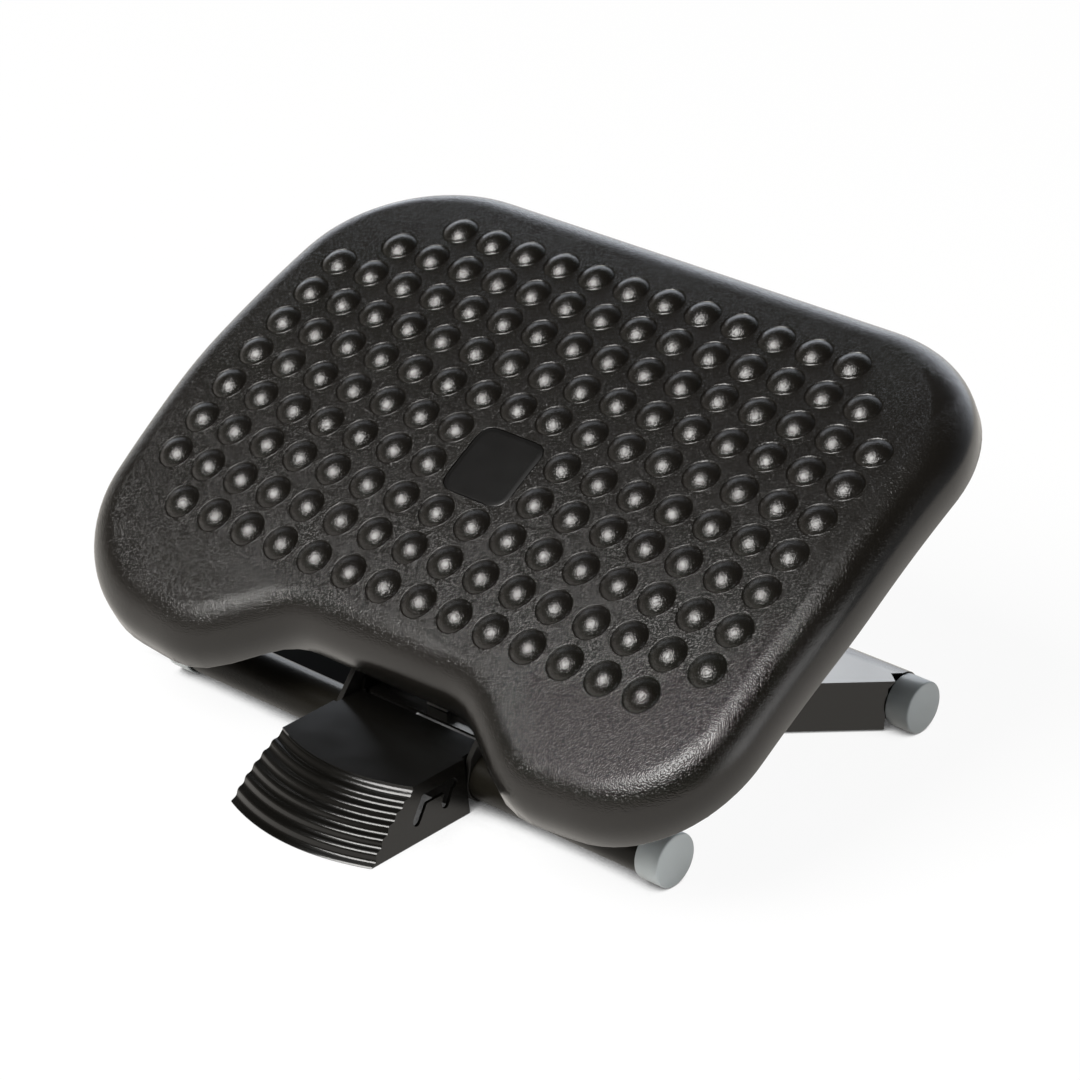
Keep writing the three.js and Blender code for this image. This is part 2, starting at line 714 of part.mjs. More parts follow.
// A ring of the outline drawn in by an inset, shrunk by a share, and lowered below the surface
function ringOf(outline, inset, drop, share) {
  return outline.map((point) => {
    const x = (point.x - inset * point.outX) * share;
    const y = (point.s - inset * point.outS) * share;
    return new THREE.Vector3(x, y, surface(y) - drop);
  });
}

// A closed solid through rings from the top one to the lowest, with a fan to a middle point at each end
function closedRings(rings, topZ, lowZ) {
  const size = rings[0].length;
  const positions = [0, 0, topZ];
  for (const point of rings.flat()) positions.push(point.x, point.y, point.z);
  positions.push(0, 0, lowZ);
  const index = [];
  const at = (r, k) => 1 + r * size + (k % size);
  const last = 1 + rings.length * size;
  for (let k = 0; k < size; k += 1) {
    index.push(0, at(0, k), at(0, k + 1));
    for (let r = 0; r < rings.length - 1; r += 1) {
      index.push(at(r, k), at(r + 1, k), at(r + 1, k + 1), at(r, k), at(r + 1, k + 1), at(r, k + 1));
    }
    index.push(last, at(rings.length - 1, k + 1), at(rings.length - 1, k));
  }
  const geometry = new THREE.BufferGeometry();
  geometry.setAttribute('position', new THREE.Float32BufferAttribute(positions, 3));
  geometry.setIndex(index);
  return outward(geometry);
}

// Rings down a rolled edge: a quarter round of the given radius, that much inside the outline to start with
function rollRings(outline, radius, inset, drop) {
  const rings = [];
  for (let i = 0; i <= rollSteps; i += 1) {
    const turn = (Math.PI * i) / (2 * rollSteps);
    const across = inset + radius * (1 - Math.sin(turn));
    rings.push(ringOf(outline, across, drop + radius * (1 - Math.cos(turn)), 1));
  }
  return rings;
}

// Places of the studs, from the rear row to the front one
function studPlaces() {
  const places = [];
  studRowHalves.forEach((half, row) => {
    const y = studRowsAhead + ((studRowHalves.length - 1) / 2 - row) * studPitchS;
    const first = badgeRows.includes(row) ? 1 : 0;
    for (let k = first; k < half; k += 1) {
      for (const sign of [-1, 1]) places.push([sign * (k + 1 / 2) * studPitchX, y]);
    }
  });
  return places;
}

// A ring of points round a stud, square to the bowed surface, at a share of the stud's height
function studRing([x, y], share) {
  const ball = (studRadius ** 2 + studHeight ** 2) / (2 * studHeight);
  const up = share * studHeight;
  const radius = Math.sqrt(ball ** 2 - (ball - studHeight + up) ** 2);
  const lean = Math.atan(y / archRadius);
  const points = [];
  for (let k = 0; k < studSides; k += 1) {
    const angle = (2 * Math.PI * (k + 1 / 2)) / studSides;
    const along = radius * Math.sin(angle);
    points.push([
      x + radius * Math.cos(angle),
      y + along * Math.cos(lean) + up * Math.sin(lean),
      surface(y) - along * Math.sin(lean) + up * Math.cos(lean),
    ]);
  }
  return points;
}

// The triangles of a stud's dome
function studDome(place) {
  const low = studRing(place, 0);
  const high = studRing(place, studHighShare);
  const [apex] = studRing(place, 1);
  return low.flatMap((point, k) => {
    const next = (k + 1) % studSides;
    return [[point, low[next], high[next]], [point, high[next], high[k]], [high[k], high[next], apex]];
  });
}

// The top inside the rolled rim: a strip from side to side for each row of studs, with the studs on it
function studdedSlab(outline) {
  const reach = Math.max(...outline.map((point) => Math.abs(point.s))) + studRowsAhead;
  const strips = Math.ceil(reach / studPitchS);
  const half = Math.max(...outline.map((point) => point.x));
  const faces = [];
  const quad = (a, b, c, d) => faces.push([a, b, c], [a, c, d]);
  const on = (x, y) => [x, y, surface(y)];
  const under = (x, y) => [x, y, surface(y) - rimRadius];
  for (let i = -strips; i < strips; i += 1) {
    const y0 = studRowsAhead + i * studPitchS;
    const y1 = y0 + studPitchS;
    const studs = studPlaces().filter(([, y]) => y > y0 && y < y1);
    const holes = studs.map((place) => studRing(place, 0));
    const corners = [on(-half, y0), on(half, y0), on(half, y1), on(-half, y1)];
    const points = [...corners, ...holes.flat()];
    const flat = (ring) => ring.map(([x, y]) => new THREE.Vector2(x, y));
    for (const face of THREE.ShapeUtils.triangulateShape(flat(corners), holes.map(flat))) {
      faces.push(face.map((corner) => points[corner]));
    }
    studs.forEach((place) => faces.push(...studDome(place)));
    quad(under(-half, y0), under(-half, y1), under(half, y1), under(half, y0));
    quad(on(-half, y0), on(-half, y1), under(-half, y1), under(-half, y0));
    quad(on(half, y0), under(half, y0), under(half, y1), on(half, y1));
  }
  const front = studRowsAhead - strips * studPitchS;
  const rear = studRowsAhead + strips * studPitchS;
  quad(on(-half, front), under(-half, front), under(half, front), on(half, front));
  quad(on(-half, rear), on(half, rear), under(half, rear), under(-half, rear));
  const geometry = new THREE.BufferGeometry();
  geometry.setAttribute('position', new THREE.Float32BufferAttribute(faces.flat(2), 3));
  const inside = ringOf(outline, rimRadius, 0, 1).map((point) => [point.x, point.y]);
  const low = surface(rear) - rimRadius;
  return toSolid(geometry).intersect(toSolid(plateZ(inside, low - overrun, overrun)));
}

// The filled platform, before its inside is hollowed out
function platformOuter(outline) {
  const rings = rollRings(outline, rimRadius, 0, 0);
  rings.push(ringOf(outline, 0, rimDepth, 1), ringOf(outline, rimRadius, rimDepth, 1));
  const low = surface(0) - rimDepth;
  return toSolid(closedRings(rings, low + skinWall, low)).add(studdedSlab(outline));
}

// The hollow under the skin, open below
function platformInner(outline) {
  const shares = [...innerSkinShares].reverse();
  const rings = shares.map((share) => ringOf(outline, rimRadius, skinWall, share));
  rings.push(...rollRings(outline, rimRadius - skinWall, skinWall, skinWall));
  rings.push(ringOf(outline, skinWall, rimDepth + overrun, 1));
  return toSolid(closedRings(rings, surface(0) - skinWall, surface(0) - 2 * rimDepth));
}

function roundedSquare(side, radius) {
  const place = side / 2 - radius;
  const quarter = Math.PI / 2;
  return [
    ...arc(place, -place, radius, -quarter, 0, badgeSteps),
    ...arc(place, place, radius, 0, quarter, badgeSteps),
    ...arc(-place, place, radius, quarter, 2 * quarter, badgeSteps),
    ...arc(-place, -place, radius, 2 * quarter, 3 * quarter, badgeSteps),
  ];
}

// The badge lies in a shallow pocket, square to the bowed surface
const badgeLean = -Math.atan(badgeS / archRadius);

function onBadge(geometry) {
  return geometry.rotateX(badgeLean).translate(0, badgeS, surface(badgeS) - badgeSink);
}

// Screw places and heights of the cradle, in the face group's frame
const cradleMiddle = -crestAheadShaft;
const cradleTop = surface(Math.abs(cradleMiddle) + cradleHalfS) - skinWall - bossHeight;
const screwPlaces = [[-1, -1], [1, -1], [-1, 1], [1, 1]].map(([a, b]) => (
  [a * cradleScrewX, cradleMiddle + b * cradleScrewS]
));

// Places a piece at the lip's level, square to the bowed lip
function underRim(geometry, x, y) {
  return geometry.rotateX(-Math.atan(y / archRadius)).translate(x, y, surface(y) - rimDepth);
}

function addPlatform() {
  const outline = platformOutline();
  const pocketSide = badgeSide + 2 * seatGap;
  const pocket = plateZ(roundedSquare(pocketSide, badgeCorner), -badgeThick - seatGap, studHeight);
  const bosses = screwPlaces.map(([x, y]) => (
    upright(bossRadius, cradleTop + seatGap, surface(y) - skinWall / 2, x, y)
  ));
  const drill = holeRadius(screwRadius + seatGap, pinSides);
  const holes = screwPlaces.map(([x, y]) => (
    upright(drill, cradleTop - overrun, cradleTop + screwReach + seatGap, x, y)
  ));
  const outer = platformOuter(outline);
  const seats = padPlaces.flatMap(([, x, y]) => [-x, x].map((across) => (
    underRim(upright(padRadius, 0, rimDepth, 0, 0), across, y)
  )));
  const seated = join(...seats).intersect(outer);
  const shell = outer.subtract(platformInner(outline)).add(seated).add(join(...bosses));
  addPiece('platform_shell', cut(shell, onBadge(pocket), ...holes), blackPlastic, face);
  const plate = onBadge(plateZ(roundedSquare(badgeSide, badgeCorner), -badgeThick, 0));
  addPiece('badge_plate', plate, satinBlack, face);
}

// The cradle bolts under the platform and its ears hang on the tilt shaft
function addCradle() {
  const low = cradleTop - cradlePlate;
  const s0 = cradleMiddle - cradleHalfS;
  const s1 = cradleMiddle + cradleHalfS;
  const plate = block(-cradleHalfX, cradleHalfX, s0, s1, low, cradleTop);
  const axis = -crestAboveShaft;
  const earOutline = [
    [cradleMiddle - cradleEarSpread, low + cradlePlate / 2],
    ...arc(cradleMiddle, axis, cradleEarHalf, Math.PI + cradleEarWrap, 2 * Math.PI - cradleEarWrap, ringSteps),
    [cradleMiddle + cradleEarSpread, low + cradlePlate / 2],
  ];
  const earInner = cradleHalfX - cradleEar;
  const ears = bothSides((side, span) => plateX(earOutline, ...span(earInner, cradleHalfX)));
  const reach = cradleHalfX + overrun;
  const drill = holeRadius(screwRadius + seatGap, pinSides);
  const holes = screwPlaces.map(([x, s]) => upright(drill, low - overrun, cradleTop + overrun, x, s));
  const bore = bar(holeRadius(shaftRadius + seatGap, pinSides), -reach, reach, pinSides);
  const body = cut(join(plate, ...ears), bore.translate(0, cradleMiddle, axis), ...holes);
  addPiece('cradle', body, blackSteel, face);
  screwPlaces.forEach(([x, s], i) => {
    const headTop = low - seatGap;
    const head = upright(screwHead, headTop - screwHeadLength, headTop, x, s);
    const shank = upright(screwRadius, headTop - screwHeadLength / 2, cradleTop + screwReach, x, s);
    addPiece(`cradle_screw_${i + 1}`, join(head, shank), zinc, face);
  });
}

// A rubber pad under its seat at each corner
function addPads() {
  for (const [end, x, y] of padPlaces) {
    const pad = () => upright(padRadius, -padThick - seatGap, -seatGap, 0, 0);
    addPiece(`${end}_left_pad`, underRim(pad(), -x, y), rubber, face);
    addPiece(`${end}_right_pad`, underRim(pad(), x, y), rubber, face);
  }
}

addTube('front', frontTubeY);
addTube('rear', rearTubeY);
addChassis();
bothSides(addRack);
addLiftFrame();
addTiltShaft();
addPropPin();
addProp();
addPedal();
addRelease();
addPlatform();
addCradle();
addPads();

// The origin is the middle of the footprint, on the floor
const box = new THREE.Box3().setFromObject(footrest, true);
stand.position.set(0, -(box.min.y + box.max.y) / 2, 0);
footrest.updateMatrixWorld(true);

export default footrest;
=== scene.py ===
"""A tilting footrest for use under a desk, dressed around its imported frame.

Metres, +Z up, +X to the sitter's right, +Y away from the sitter. The platform's own measures are in
millimetres in its face frame: x across, s up the slope, n out of the face, with n = 0 at the top of a stud on
the crest of the bow.
"""
import json
import math

import bmesh
import bpy
import numpy as np
from mathutils import Matrix, Vector

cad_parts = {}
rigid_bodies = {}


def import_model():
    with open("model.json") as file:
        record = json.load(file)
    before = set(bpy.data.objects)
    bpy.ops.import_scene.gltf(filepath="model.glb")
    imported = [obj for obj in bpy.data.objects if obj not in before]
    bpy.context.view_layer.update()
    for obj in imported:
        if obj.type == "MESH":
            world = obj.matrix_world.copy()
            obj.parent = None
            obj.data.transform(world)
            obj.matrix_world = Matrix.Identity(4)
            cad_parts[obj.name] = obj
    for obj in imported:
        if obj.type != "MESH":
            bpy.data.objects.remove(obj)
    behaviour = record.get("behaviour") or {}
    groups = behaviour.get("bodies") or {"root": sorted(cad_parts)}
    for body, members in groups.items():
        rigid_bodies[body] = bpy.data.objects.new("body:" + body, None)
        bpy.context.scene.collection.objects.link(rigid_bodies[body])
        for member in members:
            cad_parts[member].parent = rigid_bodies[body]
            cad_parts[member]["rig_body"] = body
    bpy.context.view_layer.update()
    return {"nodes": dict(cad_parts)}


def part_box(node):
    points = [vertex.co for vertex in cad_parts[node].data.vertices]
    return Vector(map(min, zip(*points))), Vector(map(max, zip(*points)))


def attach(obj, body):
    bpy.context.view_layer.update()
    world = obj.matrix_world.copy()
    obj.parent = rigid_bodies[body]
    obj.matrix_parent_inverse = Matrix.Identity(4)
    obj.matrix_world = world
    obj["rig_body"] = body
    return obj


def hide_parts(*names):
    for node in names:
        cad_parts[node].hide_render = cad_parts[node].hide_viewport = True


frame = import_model()
nodes = frame["nodes"]

MM = 0.001
side_sign = {"left": -1, "right": 1}
part_gap = 0.3
sharp_angle = 35
tube_sides = 72
small_sides = 40
corner_share = 2.2

# Photograph's camera
camera_place = (1.1906, -1.32263, 1.0087)
camera_right = (0.74978, 0.66168, 0.0)
camera_up = (-0.29943, 0.33930, 0.89175)
camera_back = (0.59006, -0.66862, 0.45253)
camera_lens = 130.53
camera_reach = 20
sensor_width = 36.0

# Platform, in millimetres: the lip is a list of insets and drops, and a corner of the outline has its place x
# and s, its radius and its steps
tilt = math.radians(27.78)
crest_above_shaft = 48.2
crest_ahead_shaft = 18.04
arch_radius = 684.0
skin_wall = 3.5
rim_radius = 19.0
rim_depth = 28.0
lip = [(0, rim_depth - 1), (0.3, rim_depth - 0.3), (1, rim_depth), (skin_wall - 0.5, rim_depth),
       (skin_wall, rim_depth - 0.5)]
annulus_steps = 4
roll_steps = 12
inner_shares = np.linspace(0.9, 0.1, 9)
outline_corners = (
    (59.7, -138.4, 48.2, 36),
    (107.2, -173.4, 53.5, 36),
    (213.7, -165.5, 74.0, 60),
    (220.9, -23.9, 387.0, 24),
    (213.3, 148.8, 86.5, 72),
)

# Studs, in millimetres: the rows run from the rear to the front, with the count of studs on either side
stud_pitch_x = 24.0
stud_pitch_s = 23.8
stud_radius = 9.5
stud_height = 4.0
stud_rows_ahead = 1.7
stud_row_halves = (6, 7, 8, 8, 8, 8, 8, 8, 8, 7)
stud_ball_radii = (1.9, 3.8, 5.6, 7.2, 8.5, 9.25)
stud_groove = ((9.6, -0.3), (9.85, -0.42), (10.15, -0.2), (10.4, 0.0), (11.2, 0.0))
cell_steps = 4

# Badge plate and its pocket, in millimetres: the plate's edge is a list of insets and drops
badge_rows = (5, 6)
badge_side = 42.5
badge_corner = 8.0
badge_least_corner = 1.0
badge_thick = 1.4
badge_s = -23.4
badge_sink = 0.2
badge_edge = ((18, 0), (9, 0), (3, 0), (0.6, 0), (0.2, 0.12), (0, 0.45), (0, badge_thick))
badge_steps = 16
pocket_ease = 0.25

# Rubber pads, their seats and the screw bosses, in millimetres
pad_places = {"front": (196.2, -129.0), "rear": (178.0, 104.0)}
pad_radius = 9.0
pad_thick = 4.4
pad_taper = 0.5
pad_ease = 1.0
seat_height = 15.0
boss_radius = 6.0
boss_height = 6.0
screw_x = 30.0
screw_s = 32.0
screw_bore = 2.35
screw_reach = 6.0
cradle_half = 42.0

# Grain: its share on the domes, in the grooves, on the rim's wall and on the pedal's top, the drop below the
# bowed top at which it starts to fade, and how near to a flat a point counts as on it, in millimetres
grain_dome = 0.7
grain_groove = 0.3
grain_least = 0.12
grain_start = 2.0
grain_fade = 14.0
grain_pedal_top = 0.05
pedal_top_band = 0.2
on_flat = 0.01
off_flat = 0.05
field_half = 192
field_low = -117.4
field_high = 121

# Base tubes and caps, in millimetres
tube_radius = 12.7
tube_wall = 1.6
tube_ease = 0.3
cap_bore = 13.05
cap_floor = 2.0
cap_ease = 1.1

# Pedal, in millimetres from the front tube's axis
pedal_top = 15.5
pedal_low = -14.1
pedal_half_top = 45.0
pedal_half_foot = 48.8
pedal_front = 86.2
pedal_bow = 10.5
pedal_top_edge = 52.0
pedal_arc_radius = 84.0
pedal_ribs = 6
pedal_rib_depth = 1.5
pedal_wall = 1.8
pedal_skin = 2.3
pedal_back = 14.8
pedal_neck_half = 43.0
pedal_neck_end = 2.7
pedal_ease = 0.45
pedal_open_low = 3
pedal_top_shares = np.linspace(0, 1, 9)[1:, None]
ear_radius = 14.0
ear_thick = 2
ear_turn = np.radians(np.linspace(30, -200, 25))
ear_top = 22
ear_slope = 2
ear_push = 16.7
ear_push_low = 9
pedal_bore = 13.02
pedal_bore_reach = 52
slot_half = 2.75
slot_reach = (41, 52)
slot_runs = (((-52, -3), (-45, 6)), ((-45, 6), (-24, 6)), ((-31, -2), (-26, 6)))

# Folded steel and small parts: widths of the eased edges in millimetres, and the angles and distances, in
# degrees and metres, that decide what is an edge and what is one point
steel_eases = {"chassis_deck": 0.5, "lift_frame": 0.6, "prop": 0.5, "cradle": 0.5}
small_ease = 0.25
ease_angle = 32
merge_distance = 2e-6
platform_weld = 5e-6
flat_angle = 0.5

# Spots of a finish: detail of the noise, and the range of it that the roughness follows
spot_detail = 4
spot_range = (0.3, 0.7)

# Studio, in metres: each softbox has a direction, a size, a power and a colour
lamp_distance = 6.0
lamp_aim = Vector((0, 0, 0.12))
softboxes = {
    "key": ((-0.10, -0.617, 0.78), (3.3, 3.3), 640, (1.0, 0.985, 0.96)),
    "back": ((-0.53, 0.695, 0.485), (1.7, 2.0), 62, (0.95, 0.975, 1.0)),
    "fill": ((0.97, -0.06, 0.2), (4.0, 2.6), 78, (1, 1, 1)),
    "top": ((-0.33, -0.15, 0.93), (2.6, 2.6), 14, (1, 1, 1)),
}
white = (1, 1, 1)
warm_dome = (1.0, 0.92, 0.82)
cool_dome = (0.87, 0.92, 1.0)
warm_paper = (1.0, 0.955, 0.89)
grey_paper = (0.8, 0.8, 0.8)
paper_reach = 6.0
paper_sink = 0.0002
paper_glow = 0.94
shade_reach = 0.06
shade_samples = 8

# Ranges for the studio's nodes, from low and high to low and high: the dome by the way a ray looks, the
# floor's painted shade by its ambient occlusion, and where the floor is clear of the painted shadow under the
# left half, by place in metres
dome_height = (0.0, 0.7, 2.8, 0.04)
dome_behind = (0.0, 0.5, 0.12, 1.0)
dome_leftward = (-0.3, 0.35, 1.0, 0.1)
shade_range = (0.06, 0.45, 0.01, 1.0)
# Painted shadow: the floor's glow fades to dark inside these bounds, close under the platform's left half
clear_right = (-0.07, 0.0, 0.0, 1.0)
clear_left = (-0.2, -0.145, 1.0, 0.0)
clear_front = (-0.074, -0.052, 1.0, 0.0)
clear_rear = (0.07, 0.16, 0.0, 1.0)


def middle(node):
    """The middle of a CAD node's box, in metres."""
    low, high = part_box(node)
    return [(a + b) / 2 for a, b in zip(low, high)]


_, front_y, axis_z = middle("front_tube")
_, shaft_y, shaft_z = middle("tilt_shaft")
cos_tilt, sin_tilt = math.cos(tilt), math.sin(tilt)
face_y = shaft_y + (crest_ahead_shaft * cos_tilt - crest_above_shaft * sin_tilt) * MM
face_z = shaft_z + (crest_ahead_shaft * sin_tilt + crest_above_shaft * cos_tilt) * MM


# ---- Camera

camera_data = bpy.data.cameras.new("camera")
camera_data.lens = camera_lens
camera_data.sensor_width = sensor_width
camera_data.clip_end = camera_reach
camera = bpy.data.objects.new("camera", camera_data)
camera_turn = Matrix((camera_right, camera_up, camera_back)).transposed()
camera.matrix_world = Matrix.Translation(camera_place) @ camera_turn.to_4x4()
bpy.context.scene.collection.objects.link(camera)
bpy.context.scene.camera = camera


# ---- Meshes

def quads(rows, cols, first=0):
    """Quads between neighbouring points of rows that are closed round, numbered row by row from first."""
    row, col = np.meshgrid(np.arange(rows - 1), np.arange(cols), indexing="ij")
    on = (col + 1) % cols
    corners = [row * cols + col, row * cols + on, (row + 1) * cols + on, (row + 1) * cols + col]
    return (np.stack(corners, -1).reshape(-1, 4) + first).tolist()


class Shape:
    """Points and faces that are gathered into one mesh."""

    def __init__(self):
        self.points = []
        self.faces = []
        self.size = 0

    def add(self, points, faces):
        """Faces over points, numbered from 0."""
        points = np.asarray(points, float).reshape(-1, 3)
        self.faces += [[i + self.size for i in face] for face in faces]
        self.points.append(points)
        self.size += len(points)
        return self

    def grid(self, points):
        """Quads over rows of points, each row closed round."""
        rows, cols = points.shape[:2]
        return self.add(points, quads(rows, cols))

    def fan(self, ring, centre, flip=False):
        """Triangles from a closed ring to a point."""
        count = len(ring)
        way = -1 if flip else 1
        return self.add(np.vstack([ring, centre]), [[k, (k + 1) % count, count][::way] for k in range(count)])

    def plate(self, ring, flip=False):
        """One flat face inside a closed ring."""
        return self.add(ring, [list(range(len(ring)))[::-1 if flip else 1]])

    def mesh(self, name, weld=merge_distance):
        """The finished mesh: near points merged, normals outward, and smooth but for its sharp edges."""
        mesh = bpy.data.meshes.new(name)
        mesh.from_pydata(np.concatenate(self.points).tolist(), [], self.faces)
        work = bmesh.new()
        work.from_mesh(mesh)
        bmesh.ops.remove_doubles(work, verts=work.verts, dist=weld)
        bmesh.ops.dissolve_degenerate(work, edges=work.edges, dist=weld / 10)
        bmesh.ops.recalc_face_normals(work, faces=work.faces)
        work.to_mesh(mesh)
        work.free()
        smooth(mesh)
        return mesh


def smooth(mesh):
    """Smooth shading with sharp edges where faces meet at more than sharp_angle."""
    mesh.shade_smooth()
    mesh.set_sharp_from_angle(angle=math.radians(sharp_angle))


pieces = {}


def piece(name, mesh, node, look):
    """A finished piece that stands for a CAD node, and rides as that node does."""
    obj = bpy.data.objects.new(name, mesh)
    bpy.context.scene.collection.objects.link(obj)
    mesh.materials.append(look)
    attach(obj, nodes[node]["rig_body"])
    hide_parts(node)
    pieces[node] = obj
    return obj


def lathe(profile, centre, sides, axis="x"):
    """A profile [along, radius] in millimetres turned round an axis through centre, in metres.

    At the angle a the point is (along, radius cos a, radius sin a), or with the axis z
    (radius cos a, radius sin a, along).
    """
    profile = np.asarray(profile, float) * MM
    angle = 2 * math.pi * np.arange(sides) / sides
    along = np.repeat(profile[:, :1], sides, 1)
    a = profile[:, 1:] * np.cos(angle)
    b = profile[:, 1:] * np.sin(angle)
    order = {"x": (along, a, b), "z": (a, b, along)}[axis]
    return np.stack(order, -1) + np.asarray(centre)


def upright(profile):
    """A small profile [along, radius] turned round z, in millimetres."""
    return lathe(profile, (0, 0, 0), small_sides, "z") / MM


def rounded(profile, radius, steps=3):
    """An open profile with its inner corners rounded by a parabola (1 - t)^2 a + 2 t (1 - t) b + t^2 c."""
    out = [profile[0]]
    for before, here, after in zip(profile[:-2], profile[1:-1], profile[2:]):
        before, here, after = (np.asarray(p, float) for p in (before, here, after))
        back, on = before - here, after - here
        back_length, on_length = np.linalg.norm(back), np.linalg.norm(on)
        reach = min(radius, back_length / corner_share, on_length / corner_share)
        start = here + back / back_length * reach
        end = here + on / on_length * reach
        for k in range(steps + 1):
            t = k / steps
            out.append(tuple((1 - t) ** 2 * start + 2 * t * (1 - t) * here + t * t * end))
    out.append(profile[-1])
    return out


def vertex_places(mesh):
    """A mesh's vertices, one row of x, y and z each."""
    places = np.zeros(len(mesh.vertices) * 3, np.float32)
    mesh.vertices.foreach_get("co", places)
    return places.reshape(-1, 3)


def set_grain(mesh, grain):
    """Stores the share of the finish's grain that each vertex takes."""
    layer = mesh.attributes.new("grain", "FLOAT", "POINT")
    layer.data.foreach_set("value", grain.astype(np.float32))


# ---- Node helpers

def mapped(tree, value, low, high, at_low, at_high, smoothed=False):
    """A value between two bounds carried to two other bounds, and held there outside them."""
    node = tree.nodes.new("ShaderNodeMapRange")
    if smoothed:
        node.interpolation_type = "SMOOTHSTEP"
    for name, amount in (("From Min", low), ("From Max", high), ("To Min", at_low), ("To Max", at_high)):
        node.inputs[name].default_value = amount
    tree.links.new(value, node.inputs["Value"])
    return node.outputs["Result"]


def blended(tree, share, low, high):
    """Two colours mixed by a share: each is a constant or another node's output."""
    node = tree.nodes.new("ShaderNodeMix")
    node.data_type = "RGBA"
    for colour, socket in ((low, node.inputs[6]), (high, node.inputs[7])):
        if isinstance(colour, bpy.types.NodeSocket):
            tree.links.new(colour, socket)
        else:
            socket.default_value = (*colour, 1)
    tree.links.new(share, node.inputs[0])
    return node.outputs[2]


def joined(tree, operation, *values):
    """Values taken together one after another by a math operation."""
    whole = values[0]
    for value in values[1:]:
        node = tree.nodes.new("ShaderNodeMath")
        node.operation = operation
        tree.links.new(whole, node.inputs[0])
        tree.links.new(value, node.inputs[1])
        whole = node.outputs[0]
    return whole


def axes(tree, coordinate):
    """The X, Y and Z of a texture coordinate."""
    node = tree.nodes.new("ShaderNodeSeparateXYZ")
    tree.links.new(tree.nodes.new("ShaderNodeTexCoord").outputs[coordinate], node.inputs[0])
    return node.outputs


# ---- Materials

def finish(name, base, rough, metal=0.0, bump=(), spots=None, specular=0.5):
    """A Principled finish with noise on its roughness and colour, and a sum of noises as bump.

    bump is a list of (grains per metre, depth in metres, detail, attribute that scales it or None).
    spots is (grains per metre, share of colour change, change of roughness).
    """
    made = bpy.data.materials.new(name)
    made.use_nodes = True
    tree = made.node_tree
    shader = tree.nodes["Principled BSDF"]
    shader.inputs["Base Color"].default_value = (*base, 1)
    shader.inputs["Roughness"].default_value = rough
    shader.inputs["Metallic"].default_value = metal
    shader.inputs["Specular IOR Level"].default_value = specular
    place = tree.nodes.new("ShaderNodeTexCoord").outputs["Object"]

    def noise(scale, detail):
        node = tree.nodes.new("ShaderNodeTexNoise")
        node.inputs["Scale"].default_value = scale
        node.inputs["Detail"].default_value = detail
        tree.links.new(place, node.inputs["Vector"])
        return node.outputs["Fac"]

    if spots:
        scale, colour_change, rough_change = spots
        value = noise(scale, spot_detail)
        rougher = mapped(tree, value, *spot_range, rough - rough_change, rough + rough_change)
        tree.links.new(rougher, shader.inputs["Roughness"])
        darker = [c * (1 - colour_change) for c in base]
        lighter = [min(1, c * (1 + colour_change)) for c in base]
        tree.links.new(blended(tree, value, darker, lighter), shader.inputs["Base Color"])
    normal = None
    for scale, depth, detail, attribute in bump:
        node = tree.nodes.new("ShaderNodeBump")
        node.inputs["Distance"].default_value = depth
        tree.links.new(noise(scale, detail), node.inputs["Height"])
        if attribute:
            read = tree.nodes.new("ShaderNodeAttribute")
            read.attribute_name = attribute
            tree.links.new(read.outputs["Fac"], node.inputs["Strength"])
        if normal:
            tree.links.new(normal, node.inputs["Normal"])
        normal = node.outputs["Normal"]
    if normal:
        tree.links.new(normal, shader.inputs["Normal"])
    return made


platform_plastic = finish(
    "platform_plastic", (0.0066, 0.0058, 0.0048), 0.22,
    bump=[(1500, 0.00027, 0.5, "grain")], spots=(30, 0.12, 0.03))
badge_plastic = finish(
    "badge_plastic", (0.005, 0.0048, 0.0046), 0.24,
    bump=[(900, 0.00001, 2, None)], spots=(60, 0.1, 0.02))
pedal_plastic = finish(
    "pedal_plastic", (0.0032, 0.003, 0.0025), 0.18,
    bump=[(1300, 0.00003, 1.0, "grain")], spots=(60, 0.1, 0.02), specular=0.4)
black_tube = finish(
    "black_tube", (0.007, 0.0062, 0.0045), 0.3,
    bump=[(800, 0.00006, 2, None)], spots=(40, 0.1, 0.04), specular=0.12)
deck_paint = finish(
    "deck_paint", (0.008, 0.0075, 0.0065), 0.22,
    bump=[(500, 0.000008, 2, None)], spots=(25, 0.1, 0.03))
frame_paint = finish(
    "frame_paint", (0.008, 0.0075, 0.0065), 0.3,
    bump=[(600, 0.00002, 2, None)], spots=(30, 0.1, 0.04))
grey_plastic = finish(
    "grey_plastic", (0.46, 0.50, 0.51), 0.36,
    bump=[(900, 0.00002, 2, None)], spots=(50, 0.04, 0.04))
zinc = finish(
    "zinc", (0.56, 0.56, 0.55), 0.36, metal=1.0,
    bump=[(800, 0.00001, 2, None)], spots=(120, 0.12, 0.1))
nylon = finish(
    "nylon", (0.66, 0.64, 0.58), 0.5,
    bump=[(700, 0.00002, 2, None)], spots=(80, 0.04, 0.05))
rubber = finish(
    "rubber", (0.008, 0.008, 0.008), 0.8,
    bump=[(900, 0.00005, 3, None)], spots=(80, 0.1, 0.05))


# ---- Platform

def arch(s):
    """Height of the bowed top at a place up the slope: -stud_height - s^2 / (2 arch_radius)."""
    return -stud_height - s * s / (2 * arch_radius)


def on_face(x, s, n):
    """Face-frame millimetres to metres: s and n turned by the tilt about X, then moved to the face's place."""
    y = face_y + (s * cos_tilt - n * sin_tilt) * MM
    z = face_z + (s * sin_tilt + n * cos_tilt) * MM
    return np.stack(np.broadcast_arrays(x * MM, y, z), -1)


def raised(x, s, height):
    """A point at a height above the bowed top, square to it."""
    return on_face(x, s + height * s / arch_radius, arch(s) + height)


def raised_loop(loop, s, height):
    """A loop [x, s] moved up the slope by s, at a height above the bowed top."""
    return raised(loop[:, 0], s + loop[:, 1], height)


